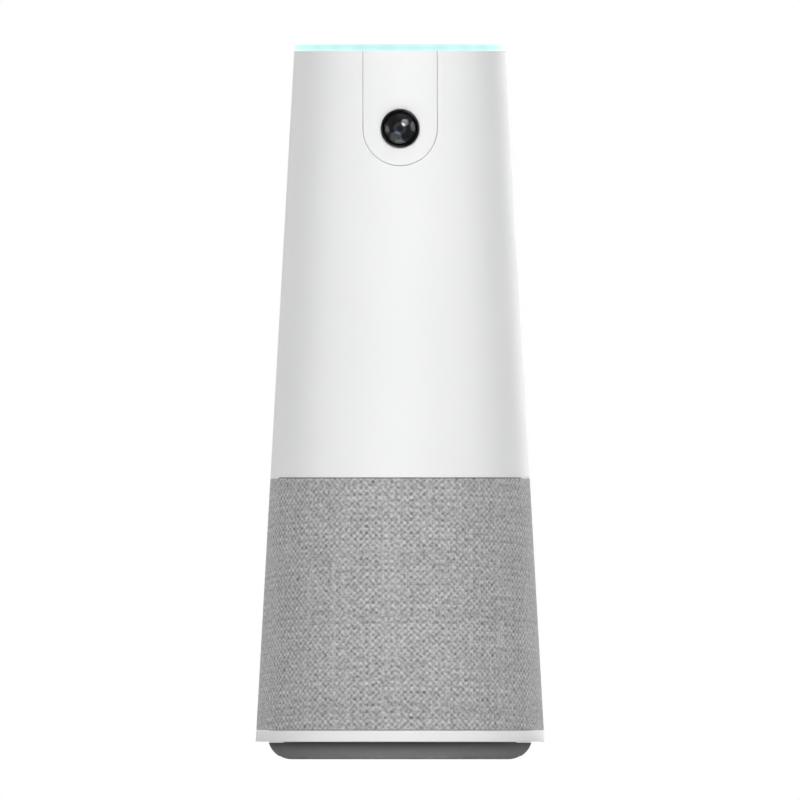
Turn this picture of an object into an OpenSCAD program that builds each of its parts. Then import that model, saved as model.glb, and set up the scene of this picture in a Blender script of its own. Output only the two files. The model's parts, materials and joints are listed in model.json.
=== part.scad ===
// Conference camera: a tapered tower with a camera, speaker, microphones and touch keys,
// which turns on a low round foot. Millimetres, +Z up, the lens looks along -Y, and the
// origin is the middle of the foot where it stands on the table.

/* [Tower] */
// Height from the table to the top of the light ring
total_h = 270; // [250:1:300]
// Radius of the tower at the bottom of its trim ring
base_r = 54.5; // [53.5:0.1:60]
// Radius of the tower at its top
top_r = 39.8; // [38.5:0.1:44]
// Height of the white trim ring under the fabric
trim_h = 4.2; // [3:0.1:6]
// Height of the fabric sleeve
fabric_h = 94.8; // [88:0.1:110]
// Thickness of the woven fabric
fabric_t = 0.9; // [0.5:0.1:1.2]
// Wall of the perforated speaker grille under the fabric
grille_wall = 2; // [1.5:0.1:2.4]
// Wall of the white upper shell
shell_wall = 2.2; // [1.6:0.1:2.6]
// Shadow gap between the fabric and the upper shell
seam_gap = 0.5; // [0.3:0.05:0.8]
// Height of the light ring's visible band
ring_h = 2.5; // [2:0.1:3.5]

/* [Foot] */
// Height of the rubber pad
pad_h = 1.2; // [0.8:0.1:1.6]
// Width of the rubber pad, from its inner to its outer edge on the table
pad_w = 8; // [5:0.5:10]
// Radius of the flat that the foot stands on
foot_flat_r = 41.3; // [40:0.1:42]
// Radius of the arc that rises from the flat to the dish's rim
bowl_arc = 8.6; // [7.5:0.1:10]
// Height of the dish's rim above the table
dish_top = 6.3; // [5.5:0.1:7]
// Wall of the dish
dish_wall = 2; // [1.5:0.1:2.4]
// Running gap between the foot and what turns above it
run_gap = 0.35; // [0.25:0.05:0.5]

/* [Base hub] */
// Outer radius of the hub that the dish carries
hub_r = 44; // [43:0.1:44.5]
// Height of the hub's roof above the table
hub_top = 16; // [15:0.1:20]
// Wall of the hub
hub_wall = 2; // [1.5:0.1:2.5]
// Width of the plug bay in the underside
bay_w = 40; // [38:0.5:42]
// Distance from the tower's axis to the face that the sockets open in
bay_front = 15; // [14.5:0.1:16]
// Width of the cable notch through the rear of the dish
notch_w = 28; // [20:0.5:34]
// Radius of the tripod thread, at its crests
tripod_r = 3.175; // [3.175:0.001:4.8]
// Depth of the tripod thread
tripod_depth = 8; // [6:0.1:8.5]
// Radius of the audio socket's bore
audio_r = 1.8; // [1.75:0.01:1.9]
// Thickness of the steel ballast plate
ballast_h = 6; // [3:0.1:8]

/* [Pan drive] */
// Tooth size of the pan gears, as their module
gear_module = 0.8; // [0.7:0.01:0.82]
// Teeth on the fixed gear
sun_teeth = 72; // [72:1:73]
// Teeth on the motor's pinion
pinion_teeth = 18; // [18:2:20]
// Face width of the pan gears
gear_w = 4.2; // [3:0.1:4.5]
// Play between the gear teeth, along the pitch circle
backlash = 0.14; // [0.1:0.01:0.2]
// Radius of the pan motor
motor_r = 10; // [8:0.1:11]
// Height of the pan motor
motor_h = 14; // [10:0.1:18]

/* [Pan bearing] */
// Bore radius of the bearing's inner race
bearing_bore_r = 15; // [14:0.1:15.5]
// Outer radius of the bearing's outer race
bearing_out_r = 21; // [20.4:0.1:22]
// Width of the bearing
bearing_w = 7; // [6:0.1:8]
// Radius of one ball
ball_r = 1.7; // [1.4:0.05:1.8]
// Number of balls
ball_count = 16; // [10:1:18]

/* [Speaker] */
// Radius of the driver's flange
driver_r = 27; // [26:0.1:27.4]
// Outer radius of the driver's cone
cone_r = 19; // [17:0.1:19.2]
// Radius of the driver's magnet
magnet_r = 17; // [13:0.1:19]
// Radius of the passive radiator's plate
radiator_r = 13; // [10:0.1:15]
// Distance from the axis to the speaker box's flat faces
box_flat = 30; // [28.5:0.1:31]
// Gap between the speaker box and the grille, at the box's top
box_gap = 5.2; // [4.2:0.1:6]
// Wall of the speaker box
box_wall = 2.5; // [2:0.1:3]

/* [Camera] */
// Distance from the top of the tower down to the lens axis
lens_drop = 31.9; // [29:0.1:40]
// Radius of the lens bezel
lens_r = 7.3; // [6.8:0.1:8]
// Radius of the rounded end of the camera panel
panel_r = 14; // [13:0.1:15]
// Hairline gap between the camera panel and the shell
hairline = 0.15; // [0.1:0.01:0.3]
// Radius of the lens barrel
barrel_r = 6; // [5.5:0.1:6.2]
// Side of the square lens holder
holder_w = 16; // [14:0.1:18]

/* [Controls] */
// Radius of the four outer keys
key_r = 5.5; // [4.5:0.1:6]
// Radius of the middle key
mute_r = 10; // [8:0.1:10.5]
// Distance from the axis to the outer keys
key_ring_r = 23; // [22.5:0.1:24]
// How far a key travels when it is pressed
key_travel = 0.5; // [0.3:0.05:0.6]
// Thickness of the top panel
panel_t = 1.4; // [1:0.1:1.8]
// Radius of a microphone hole
mic_hole_r = 0.6; // [0.4:0.05:0.9]
// Number of microphones
mic_count = 6; // [4:2:6]
// Number of lamps under the light ring
led_count = 24; // [12:4:32]

/* [Hidden] */
$fn = 96;
// How far a cutting shape runs past the face it cuts
cut = 1;
// Clearance of a piece that sits inside another
fit = 0.3;
// Clearance of a close fit, such as a race on its seat
snug = 0.05;
// Small edge break on visible rims
edge = 0.3;
// Thickness of every circuit board
board_t = 1.6;
// Shank, head and boss of the one size of screw that is used throughout
screw_r = 1;
screw_head_r = 2;
screw_head_h = 1.4;
boss_wall = 2;
boss_r = screw_r + boss_wall;

// Heights of the tower's outer pieces, from the table up
trim_z0 = dish_top + run_gap;
trim_z1 = trim_z0 + trim_h;
fabric_z0 = trim_z1 + hairline;
fabric_z1 = fabric_z0 + fabric_h;
shell_z0 = fabric_z1 + seam_gap;
ring_z0 = total_h - ring_h;
shell_z1 = ring_z0 - hairline;
lens_z = total_h - lens_drop;

// Outer radius of the tower at a height
function skin_r(z) = base_r - (base_r - top_r) * (z - trim_z0) / (total_h - trim_z0);

// The base: the dish's floor, the hub's wall and roof, and the plug bay between them
floor_t = 2;
floor_z = pad_h + floor_t;
roof_z = hub_top - hub_wall;
bay_wall = 1.6;
bay_back = hub_r - hub_wall - fit;
insert_wall = 1.4;
insert_r = tripod_r + insert_wall;
insert_boss_r = insert_r + boss_wall;
insert_roof = 1;
insert_boss_z1 = pad_h + tripod_depth + insert_roof;
base_screw_ring_r = hub_r - hub_wall - boss_r;
base_screw_turn = 45;
base_screw_tip = 2;

// Sockets on their upright board, at the bay's front face
port_board_w = bay_w - bay_wall;
port_board_y = insert_boss_r + fit;
port_z = (floor_z + roof_z) / 2;
usb_w = 8.9;
usb_h = 3.2;
usb_skin = 0.3;
usb_len = bay_front - port_board_y - board_t;
usb_tongue_w = 6.6;
usb_tongue_h = 0.7;
usb_tongue_set = 1.5;
power_w = 9;
power_bore_r = 3.1;
power_pin_r = 1;
power_len = 11;
audio_w = 6.4;
audio_depth = 13.4;
audio_end = 1;
audio_len = audio_depth + audio_end;
socket_x = bay_w / 2 - power_w / 2 - bay_wall;

// The pan drive between the hub's roof and the turning deck
sun_r = gear_module * sun_teeth / 2;
pinion_r = gear_module * pinion_teeth / 2;
motor_x = sun_r + pinion_r;
pressure = 20;
addendum_share = 1;
dedendum_share = 1.25;
sun_rim = 3;
sun_bore_r = sun_r - dedendum_share * gear_module - sun_rim;
gear_gap = 0.4;
deck_z0 = hub_top + 2 * gear_gap + gear_w;
deck_t = 2.5;
deck_z1 = deck_z0 + deck_t;
collar_wall = 2;
shaft_r = 1.5;
shaft_seat = 4;
motor_ear = motor_r + boss_r;
motor_ear_t = 2;
motor_board_w = 16;
motor_board_l = 34;
motor_board_inset = 16.3;
motor_board_gap = 3;
motor_chip_w = 8;
motor_chip_h = 1.2;
motor_plug_w = 5;
motor_plug_l = 10;
motor_plug_h = 3;

// The bearing and the spindle through it
bearing_z0 = deck_z0;
bearing_z1 = bearing_z0 + bearing_w;
bearing_mid = bearing_z0 + bearing_w / 2;
ball_ring_r = (bearing_bore_r + bearing_out_r) / 2;
race_gap = 0.9;
cage_t = 1;
cage_rim = 0.6;
cage_w = 2 * (ball_r + cage_rim);
housing_wall = 2.6;
housing_lip = 1.6;
nut_h = 3;
nut_wall = 2.4;
spindle_wall = 4;
spindle_bore_r = bearing_bore_r - spindle_wall;
shoulder_r = bearing_bore_r + race_gap;
lug_in_r = ball_ring_r - race_gap + 2 * fit;
lug_out_r = sun_bore_r - collar_wall - 2 * fit;
lug_half_angle = 6;

// The trim ring's upright wall and the deck that stands on it
hub_gap = 2;
trim_in_r = hub_r + hub_gap;
upright_wall = 3.6;
upright_r = trim_in_r + upright_wall;
deck_r = skin_r(deck_z1) - fabric_t - snug - grille_wall - fit;
motor_board_x = deck_r - motor_board_inset;
deck_screw_ring_r = trim_in_r + upright_wall / 2;
deck_screw_bite = 4;

// Windows of the grille
grille_rows = 3;
grille_columns = 24;
grille_bar = 6;
grille_window_w = 8;

// The speaker box, between the posts on the deck and the upper frame's plate
plate_t = 3;
frame_z0 = shell_z0 - plate_t;
box_r = skin_r(frame_z0) - fabric_t - grille_wall - box_gap;
post_r = 3.5;
post_inset = 1.5;
post_ring_r = box_r - post_r - post_inset;
motor_head_room = 8;
box_z0 = deck_z1 + motor_h + motor_head_room;
box_z1 = frame_z0;
driver_z = (box_z0 + box_z1) / 2;
flange_t = 2;
flange_seat = 1;
surround_w = 3.6;
surround_skin = 0.6;
basket_r = cone_r + surround_w;
basket_wall = 1;
basket_rib = 2;
basket_plate = 1.5;
basket_depth = 16;
basket_back = box_flat - basket_depth;
magnet_h = 12;
magnet_back = 4;
coil_r = 6.5;
coil_wall = 0.5;
coil_len = 14;
coil_gap = 2;
cone_wall = 0.8;
cone_depth = 8;
cone_front = box_flat + flange_t + surround_skin;
driver_screw_ring_r = driver_r - screw_head_r - snug;
radiator_t = 1.6;
radiator_weight_h = 3;
radiator_surround_w = 3.6;
radiator_hole_r = radiator_r + radiator_surround_w;
radiator_flange_w = 6;
radiator_out_r = radiator_hole_r + radiator_flange_w;
radiator_screw_ring_r = radiator_out_r - screw_head_r - snug;
groove_w = 9;
groove_d = 7;
cable_r = 1.6;
cable_bend_r = 6;
ferrule_wall = 0.6;
ferrule_h = 3;
tight_bend_r = 3;
cable_x = box_r - groove_d / 2;
base_cable_z = insert_boss_z1 + fit + cable_r;

// The upper frame: a plate, four columns and a top plate
frame_r = skin_r(shell_z0) - fabric_t - grille_wall - fit - snug;
shell_screw_ring_r = frame_r - screw_head_r - edge;
ledge_w = 6;
ledge_t = 2;
column_w = 6;
column_x = 22;
column_y = 22;
top_stack = 9.5;
top_plate_t = 2.5;
top_plate_z1 = total_h - top_stack;
top_plate_z0 = top_plate_z1 - top_plate_t;
top_gap = 0.5;
top_plate_r = top_r - shell_wall - fit - top_gap;
top_hole_r = 11;

// The main board, its chips and the heat sink on the largest of them
main_board_w = 50;
main_board_gap = 12;
main_board_z0 = shell_z0 + main_board_gap;
main_board_share = 0.712;
main_board_h = main_board_share * (top_plate_z0 - shell_z0);
board_face_y = column_y - column_w / 2 - board_t;
power_chip_w = 9;
power_chip_t = 1.4;
power_chip_h = 11;
power_chip_pitch = 12;
power_chip_share = 1 / 9;
coil_w = 7;
coil_t = 5;
coil_pitch = 14;
coil_share = 7 / 27;
main_chip_w = 24;
main_chip_t = 1.6;
main_chip_share = 0.5;
main_chip_z = main_chip_share * main_board_h;
radio_can_w = 14;
radio_can_t = 3;
radio_can_h = 8;
radio_can_x = 14;
radio_can_share = 8 / 9;
cable_plug_w = 9;
cable_plug_t = 4;
cable_plug_h = 8;
cable_plug_x = 18;
cable_end_z = main_board_z0 + cable_bend_r;
sink_overhang = 10;
sink_w = main_chip_w + 2 * sink_overhang;
sink_share = 0.407;
sink_h = sink_share * main_board_h;
sink_base = 2;
sink_fin_t = 1.4;
sink_fin_d = 8;
sink_fin_pitch = 5.3;
sink_fins = 1 + floor((sink_w - sink_fin_t) / sink_fin_pitch);

// The camera stack, measured forward from the tower's axis along the lens
bracket_back = column_y + column_w / 2;
bracket_t = 2.5;
bracket_front = bracket_back + bracket_t;
bracket_w = 2 * column_x + column_w;
bracket_h = 38;
board_margin = 7;
camera_board_side = holder_w + 2 * board_margin;
panel_face = skin_r(lens_z);
panel_wall = 2.4;
panel_post_r = 2;
panel_post_inset = 4.5;
panel_foot_inset = 3.3;
bezel_proud = 1.7;
bezel_lip = 0.7;
barrel_gap = 4;
barrel_back = bracket_back + barrel_gap;
barrel_front = panel_face + fit;
flare_depth = 5;
flare_rim = 0.5;
glass_sphere_r = 10;
glass_t = 1;
glass_rim = 0.4;
glass_r = lens_r - bezel_lip - snug;
throat_r = 3.4;
element_t = 1.6;
element_count = 3;
element_pitch = 2.4;
dome_r = 4.2;
dome_h = 2.6;
dome_set = 7.5;
holder_len = 9;
holder_wall = 3;
holder_front = bracket_back + holder_len;
sensor_w = 7;
sensor_h = 5.2;
sensor_t = 1;

// The controls, under the top panel
panel_drop = 0.7;
panel_z1 = total_h - panel_drop;
panel_z0 = panel_z1 - panel_t;
ring_w = 3;
ring_in_r = top_r - ring_w;
ring_skirt_t = 2;
skirt_r = top_r - shell_wall - fit;
ring_ledge = 1.8;
top_panel_r = ring_in_r - snug;
board_inset = 3;
control_board_r = ring_in_r - board_inset;
board_z1 = top_plate_z1 + board_t;
pillar_r = 2;
pillar_ring_r = control_board_r - boss_r;
key_proud = 0.4;
key_flange_w = 1.2;
key_flange_t = 1.3;
key_gap = 0.15;
key_stem_r = 2;
switch_h = 1.7;
switch_w = 5;
mic_inset = 2.2;
mic_ring_r = control_board_r - mic_inset;
mic_can = [3, 3.8, 1.1];
icon_depth = 0.2;
icon_line = 0.7;
icon_share = 0.5;
slash_share = 1.3;
dot_share = 0.25;
led_w = 1.6;
led_h = 0.7;
led_inset = 0.2;
led_ring_r = skirt_r - ring_skirt_t / 2 - led_inset;
skirt_z0 = board_z1 + led_h + fit;

// Shared shapes

// A tube standing on z = 0
module tube(r_out, r_in, h) {
    difference() {
        cylinder(r = r_out, h = h);
        translate([0, 0, -cut]) cylinder(r = r_in, h = h + 2 * cut);
    }
}

// A slice of the tower's tapered outline, set in from the skin
module skin_solid(z0, z1, inset) {
    translate([0, 0, z0])
        cylinder(r1 = skin_r(z0) - inset, r2 = skin_r(z1) - inset, h = z1 - z0);
}

// A tapered wall that follows the skin
module skin_tube(z0, z1, inset, wall) {
    difference() {
        skin_solid(z0, z1, inset);
        skin_solid(z0 - cut, z1 + cut, inset + wall);
    }
}

// The round of the foot between two heights, set in by a wall and drawn in by a drop
module bowl(z0, z1, inset, drop = 0) {
    r = bowl_arc - inset;
    rotate_extrude() intersection() {
        union() {
            translate([foot_flat_r - drop, bowl_arc - drop]) circle(r = r);
            translate([0, bowl_arc - drop - r]) square([foot_flat_r - drop, 2 * r]);
        }
        translate([0, z0]) square([base_r, z1 - z0]);
    }
}

// A block centred on X and Y that stands on z = 0
module block(x, y, z) {
    translate([-x / 2, -y / 2, 0]) cube([x, y, z]);
}

// Copies at equal turns round the tower's axis
module ring_of(count, r, turn = 0) {
    for (i = [0 : count - 1]) rotate(turn + i * 360 / count) translate([r, 0, 0]) children();
}

// A screw with its head on top of z = 0 and its shank below
module screw(len) {
    translate([0, 0, -len]) cylinder(r = screw_r, h = len);
    difference() {
        cylinder(r = screw_head_r, h = screw_head_h);
        translate([0, 0, screw_head_h / 2]) cylinder(r = screw_r, h = screw_head_h, $fn = 6);
    }
}

// A hole for that screw, through a piece from z0 to z1
module screw_hole(z0, z1) {
    translate([0, 0, z0 - cut]) cylinder(r = screw_r + snug, h = z1 - z0 + 2 * cut);
}

// Puts children on the lens axis, with +Z pointing out of the lens
module on_lens_axis() {
    translate([0, 0, lens_z]) rotate([90, 0, 0]) children();
}

// Puts children on the speaker's axis, with +Z pointing out of the front or of the rear flat
module on_driver_axis() {
    translate([0, 0, driver_z]) rotate([90, 0, 0]) children();
}
module on_radiator_axis() {
    translate([0, 0, driver_z]) rotate([-90, 0, 0]) children();
}

// Gears with involute teeth

function on_circle(r, a) = [r * cos(a), r * sin(a)];
function unwind(rb, r) = sqrt(max(0, pow(r / rb, 2) - 1)) * 180 / PI;
function involute_angle(t) = t - atan(t * PI / 180);

// The outline of one tooth centred on angle a, from its root on one side to the other
function tooth(teeth, a) =
    let (
        rp = gear_module * teeth / 2,
        rb = rp * cos(pressure),
        ra = rp + addendum_share * gear_module,
        rf = rp - dedendum_share * gear_module,
        half = 90 / teeth - backlash / 4 / rp * 180 / PI + involute_angle(unwind(rb, rp)),
        t0 = unwind(rb, max(rb, rf)),
        t1 = unwind(rb, ra),
        steps = 4,
        flank = [for (i = [0 : steps]) let (t = t0 + (t1 - t0) * i / steps)
            [rb * sqrt(1 + pow(t * PI / 180, 2)), involute_angle(t) - half]]
    )
    concat(
        rf < rb ? [on_circle(rf, a - half)] : [],
        [for (p = flank) on_circle(p[0], a + p[1])],
        [for (i = [steps : -1 : 0]) on_circle(flank[i][0], a - flank[i][1])],
        rf < rb ? [on_circle(rf, a + half)] : []
    );

module gear(teeth, turn = 0) {
    linear_extrude(height = gear_w)
        polygon([for (i = [0 : teeth - 1]) each tooth(teeth, turn + i * 360 / teeth)]);
}

// The fixed foot

module foot_pad() {
    color([0.2, 0.2, 0.21]) difference() {
        bowl(0, pad_h, edge, edge);
        translate([0, 0, -cut]) cylinder(r = foot_flat_r - pad_w, h = pad_h + 2 * cut);
        translate([0, base_r / 2, -cut]) block(bay_w + 2 * bay_wall, base_r, pad_h + 2 * cut);
    }
}

module base_dish() {
    color([0.42, 0.42, 0.43]) difference() {
        union() {
            difference() {
                bowl(pad_h, dish_top, 0);
                bowl(floor_z, dish_top + cut, dish_wall);
            }
            translate([0, 0, pad_h]) cylinder(r = insert_boss_r, h = insert_boss_z1 - pad_h);
            intersection() {
                bay_walls();
                cylinder(r = bay_back, h = roof_z);
            }
        }
        translate([-bay_w / 2, bay_front, -cut]) cube([bay_w, bay_back - bay_front, hub_top + cut]);
        translate([-notch_w / 2, bay_front, -cut]) cube([notch_w, base_r, hub_top]);
        translate([0, 0, -cut]) cylinder(r = insert_r + snug, h = pad_h + tripod_depth + cut);
        ring_of(4, base_screw_ring_r, base_screw_turn) {
            screw_hole(pad_h, floor_z);
            translate([0, 0, -cut]) cylinder(r = screw_head_r + fit, h = cut + pad_h + screw_head_h);
        }
        socket_windows(bay_front);
    }
}

// The three upright walls round the plug bay
module bay_walls() {
    translate([-bay_w / 2 - bay_wall, bay_front - bay_wall, pad_h])
        cube([bay_w + 2 * bay_wall, hub_r, roof_z - pad_h - snug]);
}

// Windows for the three sockets, through an upright wall at a place along Y
module socket_windows(y) {
    depth = 4 * bay_wall;
    translate([0, y, port_z]) {
        translate([0, 0, -usb_h / 2 - snug]) block(usb_w + 2 * snug, depth, usb_h + 2 * snug);
        translate([-socket_x, 0, -power_w / 2 - snug])
            block(power_w + 2 * snug, depth, power_w + 2 * snug);
        translate([socket_x, 0, -audio_w / 2 - snug])
            block(audio_w + 2 * snug, depth, audio_w + 2 * snug);
    }
}

module base_hub() {
    color([0.3, 0.3, 0.31]) difference() {
        union() {
            difference() {
                translate([0, 0, floor_z]) cylinder(r = hub_r, h = hub_top - floor_z);
                translate([0, 0, floor_z - cut])
                    cylinder(r = hub_r - hub_wall, h = roof_z - floor_z + cut);
            }
            translate([0, 0, roof_z]) cylinder(r = shoulder_r, h = bearing_z0 - roof_z);
            translate([0, 0, roof_z])
                cylinder(r = bearing_bore_r - snug, h = bearing_z1 + nut_h - roof_z);
            translate([0, 0, roof_z])
                tube(sun_bore_r - snug, sun_bore_r - snug - collar_wall, hub_wall + gear_w);
            ring_of(4, base_screw_ring_r, base_screw_turn) translate([0, 0, floor_z])
                cylinder(r = boss_r, h = hub_top - floor_z);
            stop_lug(90, roof_z, hub_top + gear_w);
        }
        translate([0, 0, roof_z - cut]) cylinder(r = spindle_bore_r, h = bearing_z1 + nut_h);
        translate([0, hub_r, 0]) block(notch_w, hub_r, dish_top);
        ring_of(4, base_screw_ring_r, base_screw_turn) translate([0, 0, floor_z - cut])
            cylinder(r = screw_r + snug, h = roof_z - floor_z);
    }
}

// A block between the bearing and the gear's collar, which stops the pan
module stop_lug(a, z0, z1) {
    rotate(a - lug_half_angle) translate([0, 0, z0]) rotate_extrude(angle = 2 * lug_half_angle)
        translate([lug_in_r, 0]) square([lug_out_r - lug_in_r, z1 - z0]);
}

module ballast_plate() {
    y1 = -insert_r;
    color([0.55, 0.56, 0.58]) intersection() {
        translate([0, 0, floor_z])
            tube(base_screw_ring_r - boss_r - fit, insert_boss_r + fit, ballast_h);
        translate([0, y1 - hub_r / 2, floor_z - cut]) block(2 * hub_r, hub_r, ballast_h + 2 * cut);
    }
}

module tripod_insert() {
    color([0.8, 0.65, 0.3]) translate([0, 0, pad_h]) tube(insert_r, tripod_r, tripod_depth);
}

module port_board() {
    color([0.1, 0.35, 0.2]) difference() {
        translate([0, port_board_y + board_t / 2, floor_z])
            block(port_board_w, board_t, roof_z - floor_z - fit);
        for (socket = [[-socket_x, power_w], [socket_x, audio_w]])
            translate([socket[0], port_board_y, port_z - socket[1] / 2 - snug])
                block(socket[1] + 2 * snug, 4 * board_t, socket[1] + 2 * snug);
    }
}

// A thin metal shell with rounded sides round a flat tongue
module usb_socket() {
    color([0.75, 0.76, 0.78]) translate([0, bay_front, port_z]) rotate([90, 0, 0]) {
        difference() {
            linear_extrude(height = usb_len) usb_outline(0);
            translate([0, 0, -cut]) linear_extrude(height = usb_len - usb_skin + cut)
                usb_outline(usb_skin);
        }
        translate([-usb_tongue_w / 2, -usb_tongue_h / 2, usb_tongue_set])
            cube([usb_tongue_w, usb_tongue_h, usb_len - usb_tongue_set]);
    }
}

module usb_outline(inset) {
    r = usb_h / 2 - inset;
    half = (usb_w - usb_h) / 2;
    translate([-half, -r]) square([2 * half, 2 * r]);
    for (side = [-half, half]) translate([side, 0]) circle(r = r);
}

module power_socket() {
    color([0.12, 0.12, 0.13]) translate([-socket_x, bay_front, port_z]) rotate([90, 0, 0]) {
        difference() {
            translate([-power_w / 2, -power_w / 2, 0]) cube([power_w, power_w, power_len]);
            translate([0, 0, -cut]) cylinder(r = power_bore_r, h = power_len - bay_wall + cut);
        }
        translate([0, 0, bay_wall]) cylinder(r = power_pin_r, h = power_len - 2 * bay_wall + snug);
    }
}

module audio_socket() {
    color([0.12, 0.12, 0.13]) translate([socket_x, bay_front, port_z]) rotate([90, 0, 0])
        difference() {
            translate([-audio_w / 2, -audio_w / 2, 0]) cube([audio_w, audio_w, audio_len]);
            translate([0, 0, -cut]) cylinder(r = audio_r, h = audio_depth + cut);
        }
}

module base_screws() {
    head_z = pad_h + screw_head_h;
    color([0.6, 0.6, 0.62]) ring_of(4, base_screw_ring_r, base_screw_turn)
        translate([0, 0, head_z]) mirror([0, 0, 1]) screw(roof_z - head_z - base_screw_tip);
}

// The cable from the socket board up to the spindle's foot, where it starts to twist
module base_cable() {
    color([0.15, 0.15, 0.16]) {
        translate([0, tight_bend_r, base_cable_z]) rotate([-90, 0, 0])
            cylinder(r = cable_r, h = port_board_y - tight_bend_r - snug);
        translate([0, tight_bend_r, base_cable_z + tight_bend_r]) rotate([90, 0, 90])
            rotate_extrude(angle = 90, start = 180) translate([tight_bend_r, 0]) circle(r = cable_r);
        translate([0, 0, base_cable_z + tight_bend_r])
            cylinder(r = cable_r, h = hub_top - base_cable_z - tight_bend_r);
    }
}

// The pan drive and bearing

module sun_gear() {
    color([0.9, 0.88, 0.8]) translate([0, 0, hub_top]) difference() {
        gear(sun_teeth);
        translate([0, 0, -cut]) cylinder(r = sun_bore_r, h = gear_w + 2 * cut);
    }
}

module pan_pinion() {
    color([0.9, 0.88, 0.8]) translate([motor_x, 0, hub_top + gear_gap]) {
        gear(pinion_teeth, 180 / pinion_teeth);
        cylinder(r = shaft_r, h = gear_w + gear_gap + deck_t + shaft_seat);
    }
}

module pan_motor() {
    color([0.7, 0.71, 0.73]) translate([motor_x, 0, deck_z1]) difference() {
        union() {
            cylinder(r = motor_r, h = motor_h);
            for (side = [-1, 1]) translate([0, side * motor_ear, 0])
                cylinder(r = boss_r, h = motor_ear_t);
            block(2 * boss_r, 2 * motor_ear, motor_ear_t);
        }
        translate([0, 0, -cut]) cylinder(r = shaft_r + snug, h = shaft_seat + cut + fit);
        for (side = [-1, 1]) translate([0, side * motor_ear, 0]) screw_hole(0, motor_ear_t);
    }
}

module motor_board() {
    z = deck_z1 + motor_board_gap;
    foot_y = motor_board_l / 2 - screw_head_r;
    color([0.1, 0.35, 0.2]) translate([-motor_board_x, 0, z]) {
        block(motor_board_w, motor_board_l, board_t);
        translate([0, motor_chip_w, board_t]) block(motor_chip_w, motor_chip_w, motor_chip_h);
        translate([0, -motor_chip_w, board_t]) block(motor_plug_w, motor_plug_l, motor_plug_h);
    }
    color([0.7, 0.7, 0.7]) for (y = [-foot_y, foot_y]) translate([-motor_board_x, y, deck_z1])
        cylinder(r = screw_head_r, h = motor_board_gap);
}

module race(r_in, r_out) {
    translate([0, 0, bearing_z0]) difference() {
        tube(r_out, r_in, bearing_w);
        translate([0, 0, bearing_w / 2]) rotate_extrude()
            translate([ball_ring_r, 0]) circle(r = ball_r + snug);
    }
}

module bearing_inner_race() {
    color([0.8, 0.81, 0.83]) race(bearing_bore_r, ball_ring_r - race_gap);
}

module bearing_outer_race() {
    color([0.8, 0.81, 0.83]) race(ball_ring_r + race_gap, bearing_out_r);
}

module bearing_balls() {
    color([0.85, 0.86, 0.88]) ring_of(ball_count, ball_ring_r)
        translate([0, 0, bearing_mid]) sphere(r = ball_r);
}

module bearing_cage() {
    color([0.8, 0.65, 0.3]) translate([0, 0, bearing_mid - cage_w / 2]) difference() {
        tube(ball_ring_r + cage_t / 2, ball_ring_r - cage_t / 2, cage_w);
        ring_of(ball_count, ball_ring_r) translate([-cage_t, 0, cage_w / 2]) rotate([0, 90, 0])
            cylinder(r = ball_r + snug, h = 2 * cage_t);
    }
}

module spindle_nut() {
    color([0.7, 0.71, 0.73]) translate([0, 0, bearing_z1])
        tube(bearing_bore_r + nut_wall, bearing_bore_r, nut_h);
}

// The turning tower, from the deck up

module turntable_deck() {
    housing_h = bearing_w + housing_lip;
    color([0.25, 0.25, 0.26]) difference() {
        union() {
            translate([0, 0, deck_z0]) cylinder(r = deck_r, h = deck_t);
            translate([0, 0, deck_z0]) cylinder(r = bearing_out_r + housing_wall, h = housing_h);
            ring_of(4, post_ring_r, 45) translate([0, 0, deck_z0])
                cylinder(r = post_r, h = box_z0 - deck_z0);
            stop_lug(-90, hub_top + gear_gap, deck_z1);
        }
        difference() {
            translate([0, 0, deck_z0 - cut]) cylinder(r = bearing_out_r + snug, h = bearing_w + cut);
            stop_lug(-90, hub_top, bearing_z0 - snug);
        }
        translate([0, 0, deck_z0])
            cylinder(r = bearing_out_r - housing_lip, h = housing_h + cut);
        translate([motor_x, 0, deck_z0 - cut]) cylinder(r = shaft_r + fit, h = deck_t + 2 * cut);
        for (side = [-1, 1]) translate([motor_x, side * motor_ear, 0]) screw_hole(deck_z0, deck_z1);
        ring_of(4, deck_screw_ring_r, 45) screw_hole(deck_z0, deck_z1);
    }
}

module trim_ring() {
    outline = [
        [trim_in_r, trim_z0],
        [skin_r(trim_z0) - edge, trim_z0],
        [skin_r(trim_z0), trim_z0 + edge],
        [skin_r(trim_z1), trim_z1 - edge],
        [skin_r(trim_z1) - edge, trim_z1],
        [upright_r, trim_z1],
        [upright_r, deck_z0],
        [trim_in_r, deck_z0]
    ];
    color([0.93, 0.93, 0.93]) difference() {
        rotate_extrude() polygon(outline);
        ring_of(4, deck_screw_ring_r, 45) screw_hole(deck_z0 - deck_screw_bite, deck_z0);
    }
}

// Screws that hold the deck to the trim ring, the motor to the deck, and the shell to its frame
module tower_screws() {
    color([0.6, 0.6, 0.62]) {
        ring_of(4, deck_screw_ring_r, 45) translate([0, 0, deck_z1]) screw(deck_t + deck_screw_bite);
        for (side = [-1, 1]) translate([motor_x, side * motor_ear, deck_z1 + motor_ear_t])
            screw(motor_ear_t + deck_t);
        ring_of(4, shell_screw_ring_r, 45) translate([0, 0, frame_z0]) mirror([0, 0, 1])
            screw(plate_t + ledge_t);
    }
}

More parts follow.
